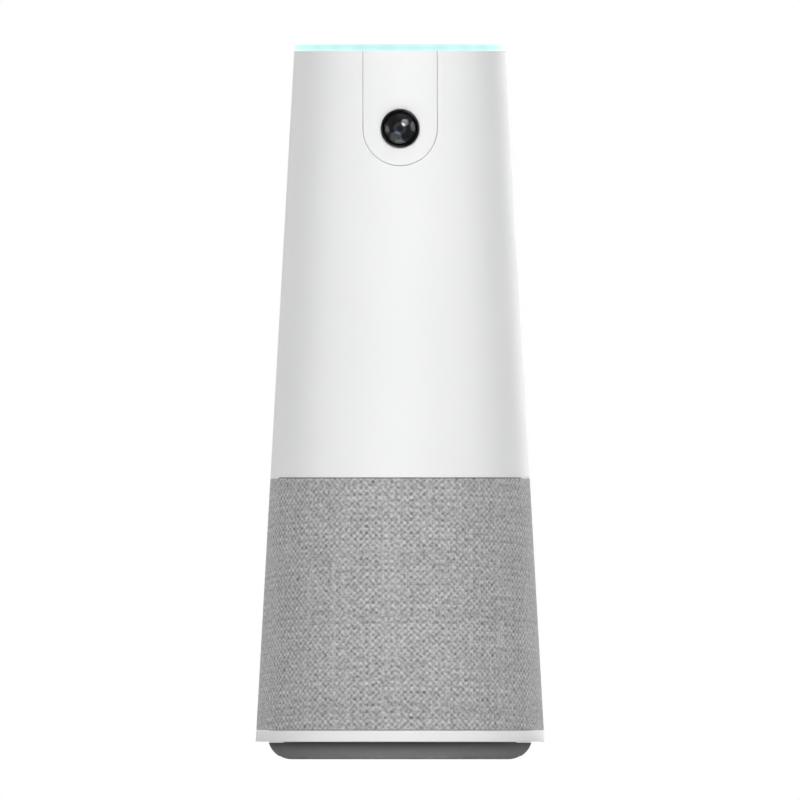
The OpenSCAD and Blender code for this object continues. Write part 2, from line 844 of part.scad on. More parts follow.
// The cable from the spindle's top, along the box's groove, to the plug on the main board
module tower_cable() {
    z0 = hub_top + run_gap;
    run_z = box_z0 - cable_bend_r;
    plug_y = board_face_y - cable_plug_t;
    plug_x = -cable_plug_x;
    turn = atan2(plug_y, cable_x + plug_x);
    reach = norm([cable_x + plug_x, plug_y]) - cable_bend_r - 2 * cable_r;
    color([0.15, 0.15, 0.16]) {
        translate([0, 0, z0]) cylinder(r = cable_r, h = run_z - cable_bend_r - z0);
        translate([-cable_bend_r, 0, run_z - cable_bend_r]) rotate([90, 0, 0])
            rotate_extrude(angle = 90) translate([cable_bend_r, 0]) circle(r = cable_r);
        translate([-cable_bend_r, 0, run_z]) rotate([0, -90, 0])
            cylinder(r = cable_r, h = cable_x - 2 * cable_bend_r);
        translate([-cable_x + cable_bend_r, 0, run_z + cable_bend_r]) rotate([90, 0, 180])
            rotate_extrude(angle = 90, start = 270) translate([cable_bend_r, 0]) circle(r = cable_r);
        translate([-cable_x, 0, run_z + cable_bend_r])
            cylinder(r = cable_r, h = main_board_z0 - ferrule_h - run_z - cable_bend_r);
        translate([-cable_x, 0, main_board_z0 - ferrule_h])
            cylinder(r = cable_r + ferrule_wall, h = ferrule_h);
        translate([-cable_x, 0, main_board_z0]) rotate(turn) {
            translate([cable_bend_r, 0, 0]) rotate([90, 0, 0]) rotate_extrude(angle = 90, start = 90)
                translate([cable_bend_r, 0]) circle(r = cable_r);
            translate([cable_bend_r, 0, cable_bend_r]) rotate([0, 90, 0])
                cylinder(r = cable_r, h = reach);
        }
    }
}

module speaker_grille() {
    pitch = (fabric_h - grille_bar) / grille_rows;
    half_turn = 180 / grille_columns;
    color([0.2, 0.2, 0.21]) difference() {
        skin_tube(fabric_z0, fabric_z1, fabric_t + snug, grille_wall);
        for (row = [0 : grille_rows - 1]) translate([0, 0, fabric_z0 + grille_bar + row * pitch])
            ring_of(grille_columns, base_r, row % 2 * half_turn)
                block(base_r / 2, grille_window_w, pitch - grille_bar);
    }
}

module fabric_sleeve() {
    color([0.66, 0.66, 0.66]) skin_tube(fabric_z0, fabric_z1, 0, fabric_t);
}

module box_outline(inset) {
    h = box_z1 - box_z0 - 2 * inset;
    intersection() {
        cylinder(r = box_r - inset, h = h);
        block(2 * box_r, 2 * (box_flat - inset), h);
    }
}

module speaker_box() {
    h = box_z1 - box_z0;
    color([0.16, 0.16, 0.17]) difference() {
        translate([0, 0, box_z0]) box_outline(0);
        difference() {
            translate([0, 0, box_z0 + box_wall]) box_outline(box_wall);
            translate([-box_r, 0, box_z0]) block(2 * (groove_d + box_wall), groove_w + 2 * box_wall, h);
        }
        translate([-box_r, 0, box_z0 - cut]) block(2 * groove_d, groove_w, h + 2 * cut);
        on_driver_axis() {
            cylinder(r = basket_r + fit, h = box_r);
            ring_of(4, driver_screw_ring_r, 45) screw_hole(box_flat - box_wall, box_flat);
        }
        on_radiator_axis() {
            cylinder(r = radiator_hole_r + fit, h = box_r);
            ring_of(4, radiator_screw_ring_r, 45) screw_hole(box_flat - box_wall, box_flat);
        }
    }
}

module driver_frame() {
    color([0.3, 0.3, 0.32]) on_driver_axis() {
        difference() {
            translate([0, 0, box_flat]) tube(driver_r, basket_r - flange_seat, flange_t);
            ring_of(4, driver_screw_ring_r, 45) screw_hole(box_flat, box_flat + flange_t);
        }
        difference() {
            translate([0, 0, basket_back]) tube(basket_r, basket_r - basket_wall, basket_depth);
            ring_of(4, basket_r, 45) translate([0, 0, basket_back + basket_rib])
                block(basket_r, basket_r, basket_depth - 2 * basket_rib);
        }
        translate([0, 0, basket_back - basket_plate])
            tube(basket_r, coil_r + coil_gap, basket_plate);
    }
}

module driver_magnet() {
    color([0.45, 0.45, 0.47]) on_driver_axis()
        translate([0, 0, basket_back - basket_plate - magnet_h]) difference() {
            cylinder(r = magnet_r, h = magnet_h);
            translate([0, 0, magnet_back])
                tube(coil_r + coil_wall + fit, coil_r - fit, magnet_h);
        }
}

// The moving cone with its voice coil and dust cap
module driver_cone() {
    neck = cone_front - cone_depth;
    cap_r = coil_r * sqrt(2);
    color([0.1, 0.1, 0.11]) on_driver_axis() {
        rotate_extrude() polygon([
            [coil_r, neck],
            [coil_r + cone_wall, neck],
            [cone_r, cone_front - cone_wall],
            [cone_r, cone_front],
            [cone_r - cone_wall, cone_front],
            [coil_r, neck + cone_wall]
        ]);
        translate([0, 0, neck - coil_len]) tube(coil_r + coil_wall, coil_r, coil_len + cone_wall);
        translate([0, 0, neck]) intersection() {
            translate([0, 0, -coil_r]) difference() {
                sphere(r = cap_r + cone_wall);
                sphere(r = cap_r);
            }
            translate([0, 0, cone_wall / 2]) cylinder(r = coil_r + cone_wall, h = coil_r);
        }
    }
}

// A half roll of rubber between an inner and an outer radius, on z = 0
module half_roll(r_in, r_out) {
    roll = (r_out - r_in) / 2;
    rotate_extrude() intersection() {
        translate([r_in + roll, 0]) difference() {
            circle(r = roll);
            circle(r = roll - surround_skin);
        }
        translate([r_in, 0]) square([r_out - r_in, roll]);
    }
    tube(r_in + surround_skin, r_in, surround_skin);
    tube(r_out, r_out - surround_skin, surround_skin);
}

module driver_surround() {
    color([0.06, 0.06, 0.06]) on_driver_axis() translate([0, 0, box_flat + flange_t])
        half_roll(cone_r + fit, basket_r);
}

module radiator_frame() {
    color([0.3, 0.3, 0.32]) on_radiator_axis() difference() {
        translate([0, 0, box_flat]) tube(radiator_out_r, radiator_hole_r - flange_seat, flange_t);
        ring_of(4, radiator_screw_ring_r, 45) screw_hole(box_flat, box_flat + flange_t);
    }
}

module radiator_surround() {
    color([0.06, 0.06, 0.06]) on_radiator_axis() translate([0, 0, box_flat + flange_t])
        half_roll(radiator_r + fit, radiator_hole_r);
}

module radiator_plate() {
    color([0.1, 0.1, 0.11]) on_radiator_axis() translate([0, 0, box_flat + flange_t]) {
        cylinder(r = radiator_r, h = radiator_t);
        translate([0, 0, -radiator_weight_h]) cylinder(r = radiator_r / 2, h = radiator_weight_h);
    }
}

module speaker_screws() {
    color([0.6, 0.6, 0.62]) {
        on_driver_axis() ring_of(4, driver_screw_ring_r, 45)
            translate([0, 0, box_flat + flange_t]) screw(flange_t + box_wall);
        on_radiator_axis() ring_of(4, radiator_screw_ring_r, 45)
            translate([0, 0, box_flat + flange_t]) screw(flange_t + box_wall);
    }
}

module upper_frame() {
    color([0.25, 0.25, 0.26]) difference() {
        union() {
            translate([0, 0, frame_z0]) cylinder(r = frame_r, h = plate_t);
            for (x = [-column_x, column_x], y = [-column_y, column_y]) translate([x, y, frame_z0])
                block(column_w, column_w, top_plate_z1 - frame_z0);
            translate([0, 0, top_plate_z0]) cylinder(r = top_plate_r, h = top_plate_t);
        }
        translate([-cable_x, 0, frame_z0 - cut]) cylinder(r = cable_r + fit, h = plate_t + 2 * cut);
        translate([0, 0, top_plate_z0 - cut]) cylinder(r = top_hole_r, h = top_plate_t + 2 * cut);
        ring_of(4, shell_screw_ring_r, 45) screw_hole(frame_z0, shell_z0);
    }
}

// The tongue-shaped outline of the camera panel, looking along the lens
module tongue(grow) {
    circle(r = panel_r + grow);
    translate([-panel_r - grow, 0]) square([2 * (panel_r + grow), 2 * lens_drop]);
}

module upper_shell() {
    ledge_r = skin_r(shell_z0) - shell_wall / 2;
    color([0.93, 0.93, 0.93]) difference() {
        union() {
            skin_tube(shell_z0, shell_z1, 0, shell_wall);
            translate([0, 0, shell_z0]) tube(ledge_r, frame_r - ledge_w, ledge_t);
        }
        on_lens_axis() linear_extrude(height = base_r) tongue(hairline);
        ring_of(4, shell_screw_ring_r, 45) screw_hole(shell_z0, shell_z0 + ledge_t);
    }
}

// The electronics in the upper shell

module main_board() {
    color([0.1, 0.35, 0.2]) translate([0, board_face_y + board_t / 2, main_board_z0])
        block(main_board_w, board_t, main_board_h);
}

// A chip on the front of the main board, at a place across it and a share of its height
module chip(size, x, height_share) {
    translate([x, board_face_y - size[1] / 2, main_board_z0 + height_share * main_board_h])
        block(size[0], size[1], size[2]);
}

module board_chips() {
    color([0.08, 0.08, 0.09]) {
        for (i = [-1 : 1]) {
            chip([power_chip_w, power_chip_t, power_chip_h], i * power_chip_pitch, power_chip_share);
            chip([coil_w, coil_t, coil_w], i * coil_pitch, coil_share);
        }
        chip([main_chip_w, main_chip_t, main_chip_w], 0, main_chip_share);
        chip([radio_can_w, radio_can_t, radio_can_h], radio_can_x, radio_can_share);
        chip([cable_plug_w, cable_plug_t, cable_plug_h], -cable_plug_x, 0);
    }
}

module heat_sink() {
    back = board_face_y - main_chip_t;
    fin_pitch = (sink_w - sink_fin_t) / (sink_fins - 1);
    z = main_board_z0 + main_chip_z + (main_chip_w - sink_h) / 2;
    color([0.72, 0.73, 0.75]) translate([0, 0, z]) {
        translate([0, back - sink_base / 2, 0]) block(sink_w, sink_base, sink_h);
        for (i = [0 : sink_fins - 1])
            translate([i * fin_pitch - (sink_w - sink_fin_t) / 2, back - sink_base - sink_fin_d / 2, 0])
                block(sink_fin_t, sink_fin_d, sink_h);
    }
}

// The camera, from its bracket out to the panel

module camera_bracket() {
    hole = holder_w + 2 * fit;
    color([0.7, 0.71, 0.73]) translate([0, 0, lens_z]) difference() {
        translate([0, -bracket_front + bracket_t / 2, -bracket_h / 2])
            block(bracket_w, bracket_t, bracket_h);
        translate([0, -bracket_front, -hole / 2]) block(hole, 4 * bracket_t, hole);
    }
}

module camera_board() {
    color([0.1, 0.35, 0.2])
        translate([0, -bracket_back + board_t / 2, lens_z - camera_board_side / 2])
            block(camera_board_side, board_t, camera_board_side);
}

module image_sensor() {
    color([0.15, 0.12, 0.2]) on_lens_axis() translate([0, 0, bracket_back])
        block(sensor_w, sensor_h, sensor_t);
}

module lens_holder() {
    cavity = holder_w - 2 * holder_wall;
    color([0.1, 0.1, 0.11]) on_lens_axis() translate([0, 0, bracket_back]) difference() {
        block(holder_w, holder_w, holder_len);
        translate([0, 0, -cut]) block(cavity, cavity, barrel_gap + cut - fit);
        translate([0, 0, -cut]) cylinder(r = barrel_r + snug, h = holder_len + 2 * cut);
    }
}

// A black tube that flares into a cone behind the front glass
module lens_barrel() {
    depth = barrel_front - barrel_back;
    color([0.05, 0.05, 0.06]) on_lens_axis() translate([0, 0, barrel_back]) difference() {
        cylinder(r = barrel_r, h = depth);
        translate([0, 0, -cut]) cylinder(r = throat_r, h = depth + 2 * cut);
        translate([0, 0, depth - flare_depth])
            cylinder(r1 = throat_r, r2 = barrel_r - flare_rim, h = flare_depth + snug);
    }
}

// The inner glass: plain elements along the throat and a domed one in front
module lens_elements() {
    r = throat_r - snug;
    depth = barrel_front - barrel_back;
    color([0.3, 0.35, 0.45]) on_lens_axis() translate([0, 0, barrel_back]) {
        for (i = [0 : element_count - 1]) translate([0, 0, i * element_pitch])
            cylinder(r = r, h = element_t);
        translate([0, 0, depth - flare_depth - dome_h / 2]) intersection() {
            cylinder(r = r, h = dome_h);
            translate([0, 0, dome_h - dome_r]) sphere(r = dome_r);
        }
    }
}

module front_glass() {
    rim_z = sqrt(pow(glass_sphere_r, 2) - pow(glass_r, 2));
    color([0.2, 0.22, 0.26]) on_lens_axis()
        translate([0, 0, barrel_front + snug - rim_z + glass_rim]) intersection() {
            difference() {
                sphere(r = glass_sphere_r);
                sphere(r = glass_sphere_r - glass_t);
            }
            translate([0, 0, rim_z - glass_rim]) cylinder(r = glass_r, h = glass_sphere_r);
        }
}

module lens_bezel() {
    back = panel_face - panel_wall;
    front = panel_face + bezel_proud;
    color([0.04, 0.04, 0.05]) on_lens_axis() rotate_extrude() polygon([
        [barrel_r + snug, back],
        [lens_r, back],
        [lens_r, front - edge],
        [lens_r - edge, front],
        [lens_r - bezel_lip, front],
        [lens_r - bezel_lip, barrel_front],
        [barrel_r + snug, barrel_front]
    ]);
}

// The white tongue, on three posts that stand on the bracket
module camera_panel() {
    side = panel_r - panel_post_inset;
    posts = [[-side, panel_r], [side, panel_r], [0, panel_foot_inset - panel_r]];
    z0 = lens_z - 2 * panel_r;
    color([0.93, 0.93, 0.93]) difference() {
        union() {
            intersection() {
                skin_tube(z0, shell_z1, 0, panel_wall);
                on_lens_axis() linear_extrude(height = base_r) tongue(0);
            }
            intersection() {
                skin_solid(z0, shell_z1, panel_wall / 2);
                on_lens_axis() for (post = posts) translate([post[0], post[1], bracket_front])
                    cylinder(r = panel_post_r, h = base_r);
            }
        }
        on_lens_axis() cylinder(r = lens_r + snug, h = base_r);
    }
}

// The controls and lamps at the top

module light_ring() {
    outline = [
        [ring_in_r, total_h],
        [skin_r(total_h) - edge, total_h],
        [skin_r(total_h - edge), total_h - edge],
        [skin_r(ring_z0), ring_z0],
        [skirt_r, ring_z0],
        [skirt_r, skirt_z0],
        [skirt_r - ring_skirt_t, skirt_z0],
        [skirt_r - ring_skirt_t, panel_z0 - ring_ledge],
        [ring_in_r - ring_ledge, panel_z0 - ring_ledge],
        [ring_in_r - ring_ledge, panel_z0],
        [ring_in_r, panel_z0]
    ];
    color([0.75, 0.97, 0.97]) rotate_extrude() polygon(outline);
}

module lamp_board() {
    color([0.1, 0.35, 0.2]) translate([0, 0, top_plate_z1])
        tube(skirt_r - fit, control_board_r + fit, board_t);
}

module ring_lamps() {
    color([0.95, 0.95, 0.8]) ring_of(led_count, led_ring_r)
        translate([0, 0, board_z1]) block(led_w, led_w, led_h);
}

module control_board() {
    color([0.1, 0.35, 0.2]) translate([0, 0, top_plate_z1]) cylinder(r = control_board_r, h = board_t);
    color([0.2, 0.2, 0.22]) translate([0, 0, board_z1]) {
        block(switch_w, switch_w, switch_h);
        ring_of(4, key_ring_r) block(switch_w, switch_w, switch_h);
    }
}

module microphones() {
    color([0.8, 0.8, 0.75]) ring_of(mic_count, mic_ring_r, 180 / mic_count)
        translate([0, 0, board_z1]) block(mic_can[0], mic_can[1], mic_can[2]);
}

module top_panel() {
    color([0.93, 0.93, 0.93]) difference() {
        union() {
            translate([0, 0, panel_z0]) cylinder(r = top_panel_r, h = panel_t);
            ring_of(4, pillar_ring_r, 45) translate([0, 0, board_z1])
                cylinder(r = pillar_r, h = panel_z0 - board_z1 + snug);
        }
        translate([0, 0, panel_z0 - cut]) cylinder(r = mute_r + key_gap, h = panel_t + 2 * cut);
        ring_of(4, key_ring_r) translate([0, 0, panel_z0 - cut])
            cylinder(r = key_r + key_gap, h = panel_t + 2 * cut);
        ring_of(mic_count, mic_ring_r, 180 / mic_count) translate([0, 0, panel_z0 - cut])
            cylinder(r = mic_hole_r, h = panel_t + 2 * cut);
    }
}

// A key cap with a flange that holds it under the panel and a stem over its switch.
// Its children are cut into the cap as a symbol.
module key(r) {
    cap_top = panel_z1 + key_proud;
    flange_top = panel_z0 - key_gap;
    stem_end = board_z1 + switch_h + key_travel + key_gap;
    difference() {
        union() {
            translate([0, 0, flange_top - key_flange_t]) cylinder(r = r + key_flange_w, h = key_flange_t);
            translate([0, 0, flange_top - snug]) cylinder(r = r, h = cap_top - flange_top + snug - edge);
            translate([0, 0, cap_top - edge]) cylinder(r1 = r, r2 = r - edge, h = edge);
            translate([0, 0, stem_end]) cylinder(r = key_stem_r, h = flange_top - stem_end - snug);
        }
        translate([0, 0, cap_top - icon_depth]) children();
    }
}

// Symbols, each cut downwards from the cap's top
module icon_bar(len, turn = 0) {
    rotate(turn) block(len, icon_line, icon_depth + cut);
}
module icon_ring(r) {
    tube(r, r - icon_line, icon_depth + cut);
}

module mute_key() {
    color([0.88, 0.88, 0.88]) key(mute_r) {
        icon_ring(mute_r * icon_share);
        icon_bar(mute_r * slash_share, 45);
    }
}
module volume_up_key() {
    color([0.88, 0.88, 0.88]) translate([key_ring_r, 0, 0]) key(key_r) {
        icon_bar(key_r);
        icon_bar(key_r, 90);
    }
}
module volume_down_key() {
    color([0.88, 0.88, 0.88]) translate([-key_ring_r, 0, 0]) key(key_r) icon_bar(key_r);
}
module camera_key() {
    color([0.88, 0.88, 0.88]) translate([0, -key_ring_r, 0]) key(key_r) {
        icon_ring(key_r * icon_share);
        icon_ring(key_r * dot_share);
    }
}
module power_key() {
    r = key_r * icon_share;
    color([0.88, 0.88, 0.88]) translate([0, key_ring_r, 0]) key(key_r) {
        difference() {
            icon_ring(r);
            translate([0, r, -cut]) block(3 * icon_line, r, icon_depth + 3 * cut);
        }
        translate([0, r, 0]) icon_bar(r, 90);
    }
}

foot_pad();
base_dish();
base_hub();
ballast_plate();
tripod_insert();
port_board();
usb_socket();
power_socket();
audio_socket();
base_screws();
sun_gear();
bearing_inner_race();
bearing_outer_race();
bearing_balls();
bearing_cage();
spindle_nut();
base_cable();
turntable_deck();
trim_ring();
tower_screws();
pan_motor();
pan_pinion();
motor_board();
tower_cable();
speaker_grille();
fabric_sleeve();
speaker_box();
driver_frame();
driver_magnet();
driver_cone();
driver_surround();
radiator_frame();
radiator_surround();
radiator_plate();
speaker_screws();
upper_frame();
upper_shell();
main_board();
board_chips();
heat_sink();
camera_bracket();
camera_board();
image_sensor();
lens_holder();
lens_barrel();
lens_elements();
front_glass();
lens_bezel();
camera_panel();
light_ring();
lamp_board();
ring_lamps();
control_board();
microphones();
top_panel();
mute_key();
volume_up_key();
volume_down_key();
camera_key();
power_key();
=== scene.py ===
import json
import math

import bmesh
import bpy
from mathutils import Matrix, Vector


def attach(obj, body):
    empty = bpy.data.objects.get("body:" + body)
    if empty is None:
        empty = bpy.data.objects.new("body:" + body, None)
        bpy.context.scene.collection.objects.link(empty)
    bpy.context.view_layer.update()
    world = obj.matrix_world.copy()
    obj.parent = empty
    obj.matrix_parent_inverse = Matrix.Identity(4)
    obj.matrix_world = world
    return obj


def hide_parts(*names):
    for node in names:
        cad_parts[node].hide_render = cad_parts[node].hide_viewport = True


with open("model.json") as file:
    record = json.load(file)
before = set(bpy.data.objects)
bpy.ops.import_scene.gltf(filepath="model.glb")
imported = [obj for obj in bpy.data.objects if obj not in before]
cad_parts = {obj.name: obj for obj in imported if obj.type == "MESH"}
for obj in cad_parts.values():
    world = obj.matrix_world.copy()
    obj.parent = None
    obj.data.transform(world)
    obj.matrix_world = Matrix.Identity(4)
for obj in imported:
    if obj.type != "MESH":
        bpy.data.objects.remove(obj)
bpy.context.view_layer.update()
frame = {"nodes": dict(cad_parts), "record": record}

# Units and the tower's outline, in millimetres, as in the part's source
MM = 0.001
BASE_R = 54.5
TOP_R = 39.8
TRIM_Z0 = 6.65
TRIM_Z1 = 10.85
TRIM_BORE = 46.0
UPSTAND_R = 49.6
UPSTAND_TOP = 21.0
FABRIC_Z0 = 11.0
FABRIC_T = 0.9
SHELL_Z0 = 106.3
SHELL_Z1 = 267.35
SHELL_WALL = 2.2
RING_Z0 = 267.5
RING_BORE = 36.8
SKIRT_R = 37.3
SKIRT_BORE = 35.3
SKIRT_Z0 = 263.1
LEDGE_R = 35.0
LEDGE_Z0 = 266.1
LEDGE_Z1 = 267.9
KEY_TOP = 269.7
TOTAL_H = 270.0

# The lens and its panel, with distances forward of the tower's axis
LENS_Z = 238.1
PANEL_R = 14.0
PANEL_WALL = 2.4
PANEL_FACE = 41.58
HAIRLINE = 0.15
LENS_R = 7.3
SNUG = 0.05
BEZEL_FRONT = 43.28
GLASS_R = 6.55
GLASS_SPHERE = 10.0
GLASS_T = 1.0
GLASS_FRONT = 44.77
BARREL_BACK = 29.0
BARREL_FRONT = 41.88
BARREL_R = 6.0
THROAT_R = 3.4
FLARE_DEPTH = 5.0
FLARE_RIM = 0.5

# The cloth reaches a little above its solid, to tuck close under the shell
FABRIC_TOP = 106.05

# A shallow lip under the trim ring, which keeps light out of the gap over the dish
LIP_R0 = 48.2
LIP_R1 = 49.3
LIP_Z0 = 6.47

# Edge rounding, and mesh steps
EDGE_R = 0.28
ROUND_STEPS = 5
COLUMNS = 288
LENS_COLUMNS = 128
WELD = 1e-6


def skin_r(z):
    """Radius of the tower's outer skin at a height."""
    return BASE_R - (BASE_R - TOP_R) * (z - TRIM_Z0) / (TOTAL_H - TRIM_Z0)


# Mesh building


def finish_mesh(name, bm, body, sharp=38):
    """An object made of the bmesh, smooth up to an angle and riding on a body."""
    bmesh.ops.remove_doubles(bm, verts=bm.verts, dist=WELD)
    bmesh.ops.recalc_face_normals(bm, faces=bm.faces)
    mesh = bpy.data.meshes.new(name)
    bm.to_mesh(mesh)
    bm.free()
    mesh.shade_smooth()
    mesh.set_sharp_from_angle(angle=math.radians(sharp))
    piece = bpy.data.objects.new(name, mesh)
    bpy.context.scene.collection.objects.link(piece)
    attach(piece, body)
    return piece


def upright(r, h, a):
    """A point at a radius, height and angle from the front, about the tower's axis."""
    return Vector((r * math.sin(a), -r * math.cos(a), h)) * MM


def on_lens(r, h, a):
    """A point at a radius, distance forward and angle, about the lens axis."""
    return Vector((r * math.cos(a), -h, LENS_Z + r * math.sin(a))) * MM


def add_grid(bm, rows, closed_rows=False, closed_columns=False):
    """Quads between rows of points."""
    grid = [[bm.verts.new(p) for p in row] for row in rows]
    last_row = len(grid) if closed_rows else len(grid) - 1
    for i in range(last_row):
        below = grid[i]
        above = grid[(i + 1) % len(grid)]
        last = len(below) if closed_columns else len(below) - 1
        for k in range(last):
            n = (k + 1) % len(below)
            bm.faces.new((below[k], below[n], above[n], above[k]))
    return grid


def lathe(name, outline, place=upright, columns=COLUMNS, closed=True, sharp=38):
    """A turned piece of the tower: (radius, height) points taken round an axis."""
    bm = bmesh.new()
    angles = [2 * math.pi * k / columns for k in range(columns)]
    rows = [[place(r, h, a) for a in angles] for r, h in outline]
    add_grid(bm, rows, closed_rows=closed, closed_columns=True)
    return finish_mesh(name, bm, "tower", sharp)


def rounded(corners, steps=ROUND_STEPS):
    """The points of a closed outline whose (x, y, radius) corners are rounded."""
    points = []
    for i, (x, y, radius) in enumerate(corners):
        corner = Vector((x, y))
        if radius == 0:
            points.append((x, y))
            continue
        before = (Vector(corners[i - 1][:2]) - corner).normalized()
        after = (Vector(corners[(i + 1) % len(corners)][:2]) - corner).normalized()
        half = before.angle(after) / 2
        centre = corner + (before + after).normalized() * radius / math.sin(half)
        start = corner + before * radius / math.tan(half) - centre
        end = corner + after * radius / math.tan(half) - centre
        sweep = start.angle(end)
        if start.x * end.y - start.y * end.x < 0:
            sweep = -sweep
        for k in range(steps + 1):
            turn = sweep * k / steps
            points.append((
                centre.x + start.x * math.cos(turn) - start.y * math.sin(turn),
                centre.y + start.x * math.sin(turn) + start.y * math.cos(turn),
            ))
    return points


def edge_rows(radius):
    """Distances from an edge, and how deep the rounded edge lies there."""
    rows = []
    for k in range(ROUND_STEPS + 1):
        a = math.pi / 2 * k / ROUND_STEPS
        rows.append((radius * (1 - math.cos(a)), radius * (1 - math.sin(a))))
    return rows


def edge_drop(distance):
    """Depth of a rounded edge of the shell at a distance from it."""
    if distance >= EDGE_R:
        return 0.0
    return EDGE_R - math.sqrt(EDGE_R ** 2 - (EDGE_R - max(distance, 0.0)) ** 2)


# Material building

# Ends at which a noise is cut off: for even patches, for marks in the gloss, or for specks
EVEN = (0.3, 0.7)
GLOSS = (0.3, 0.75)
SPECKS = (0.4, 0.8)


class Graph:
    """A node tree, with short calls for what the looks here need."""

    def __init__(self, tree, output):
        tree.nodes.clear()
        self.tree = tree
        self.output = self.add(output)

    def add(self, kind, **settings):
        """A new node with the given settings."""
        node = self.tree.nodes.new(kind)
        for key, value in settings.items():
            setattr(node, key, value)
        return node

    def link(self, source, socket):
        """Links an output to a socket."""
        self.tree.links.new(source, socket)

    def feed(self, socket, value):
        """Links an output to a socket, or sets the socket's own value."""
        if isinstance(value, bpy.types.NodeSocket):
            self.link(value, socket)
        else:
            socket.default_value = value

    def math(self, operation, *values):
        """One operation on values or outputs."""
        node = self.add("ShaderNodeMath", operation=operation)
        for socket, value in zip(node.inputs, values):
            self.feed(socket, value)
        return node.outputs[0]

    def total(self, *values):
        """The sum of values or outputs."""
        result = values[0]
        for value in values[1:]:
            result = self.math("ADD", result, value)
        return result

    def split(self, vector):
        """The X, Y and Z of a vector."""
        node = self.add("ShaderNodeSeparateXYZ")
        self.link(vector, node.inputs[0])
        return node.outputs["X"], node.outputs["Y"], node.outputs["Z"]

    def place(self):
        """The object's own coordinates, in metres."""
        return self.add("ShaderNodeTexCoord").outputs["Object"]

    def noise(self, vector, size, detail=2.0, roughness=0.5):
        """Noise whose features measure about the given size, from 0 to 1."""
        node = self.add("ShaderNodeTexNoise")
        self.link(vector, node.inputs["Vector"])
        node.inputs["Scale"].default_value = 1 / size
        node.inputs["Detail"].default_value = detail
        node.inputs["Roughness"].default_value = roughness
        return node.outputs["Fac"]

    def span(self, value, low, high, to_low, to_high):
        """A value taken from one range to another, held at its ends."""
        node = self.add("ShaderNodeMapRange")
        self.feed(node.inputs["Value"], value)
        node.inputs["From Min"].default_value = low
        node.inputs["From Max"].default_value = high
        node.inputs["To Min"].default_value = to_low
        node.inputs["To Max"].default_value = to_high
        return node.outputs[0]

    def uneven(self, noise, low, high, ends=GLOSS):
        """A value that wanders between two others as a noise does."""
        return self.span(noise, *ends, low, high)

    def mix(self, factor, first, second, kind="RGBA"):
        """A mix of two colours, or of two values where the kind is FLOAT."""
        node = self.add("ShaderNodeMix", data_type=kind)
        self.feed(node.inputs["Factor"], factor)
        self.feed(node.inputs["A"], first)
        self.feed(node.inputs["B"], second)
        return node.outputs["Result"]

    def patches(self, noise, first, second, ends=EVEN):
        """Two colours in soft patches."""
        return self.mix(self.uneven(noise, 0, 1, ends), first, second)

    def bump(self, height, depth):
        """A normal bumped by a 0 to 1 height that stands for a depth in metres."""
        node = self.add("ShaderNodeBump")
        self.link(height, node.inputs["Height"])
        node.inputs["Distance"].default_value = depth
        node.inputs["Strength"].default_value = 1.0
        return node.outputs["Normal"]

    def glow(self, strength):
        """A plain white emission."""
        node = self.add("ShaderNodeEmission")
        node.inputs["Strength"].default_value = strength
        return node.outputs[0]

    def either(self, factor, first, second):
        """A mix of two shaders."""
        node = self.add("ShaderNodeMixShader")
        for socket, source in zip(node.inputs, (factor, first, second)):
            self.link(source, socket)
        return node.outputs[0]

    def shown(self, shader):
        """Makes a shader the one that is seen."""
        self.link(shader, self.output.inputs["Surface"])


class Finish(Graph):
    """The node tree of a new material."""

    def __init__(self, name):
        self.material = bpy.data.materials.new(name)
        self.material.use_nodes = True
        super().__init__(self.material.node_tree, "ShaderNodeOutputMaterial")

    def surface(self, **values):
        """The Principled shader with the given inputs, shown as the surface."""
        shader = self.add("ShaderNodeBsdfPrincipled")
        for key, value in values.items():
            self.feed(shader.inputs[key.replace("_", " ")], value)
        self.shown(shader.outputs[0])
        return shader.outputs[0]


def grey(value):
    """A plain grey."""
    return (value, value, value, 1)


def shade(colour, share):
    """A colour dimmed to a share of itself."""
    return tuple(c * share for c in colour[:3]) + (1,)


def moulded(name, colour, roughness=0.45, grain=0.0003, depth=0.000006):
    """Moulded plastic with a fine grain and slightly uneven colour and gloss."""
    n = Finish(name)
    place = n.place()
    marks = n.noise(place, 0.006, detail=4)
    n.surface(
        Base_Color=n.patches(n.noise(place, 0.03, detail=3), shade(colour, 0.96), colour),
        Roughness=n.uneven(marks, roughness - 0.05, roughness + 0.05, (0.25, 0.75)),
        Normal=n.bump(n.noise(place, grain), depth),
    )
    return n.material


def metal(name, colour, roughness=0.3):
    """Worked metal with fine streaks along one direction."""
    n = Finish(name)
    place = n.place()
    drawn_out = n.add("ShaderNodeMapping")
    n.link(place, drawn_out.inputs["Vector"])
    drawn_out.inputs["Scale"].default_value = (1, 1, 12)
    streaks = n.noise(drawn_out.outputs[0], 0.0012, detail=4)
    stains = n.noise(place, 0.01, detail=3)
    n.surface(
        Base_Color=n.patches(stains, shade(colour, 0.8), colour),
        Metallic=1.0,
        Roughness=n.uneven(streaks, roughness - 0.08, roughness + 0.1, EVEN),
        Normal=n.bump(streaks, 0.000008),
    )
    return n.material


def white_plastic():
    """Satin white moulding, with a trace of grain and handling marks in its gloss."""
    n = Finish("white_shell_plastic")
    place = n.place()
    broad = n.noise(place, 0.06, detail=3)
    marks = n.noise(place, 0.009, detail=5, roughness=0.65)
    n.surface(
        Base_Color=n.patches(broad, (0.835, 0.84, 0.845, 1), (0.86, 0.862, 0.864, 1)),
        Roughness=n.uneven(marks, 0.42, 0.5),
        Normal=n.bump(n.noise(place, 0.00035), 0.000004),
    )
    return n.material


# Depths under a key's top at which the grey paint of its symbol starts and is full
PAINT_FROM = 0.08
PAINT_FULL = 0.12


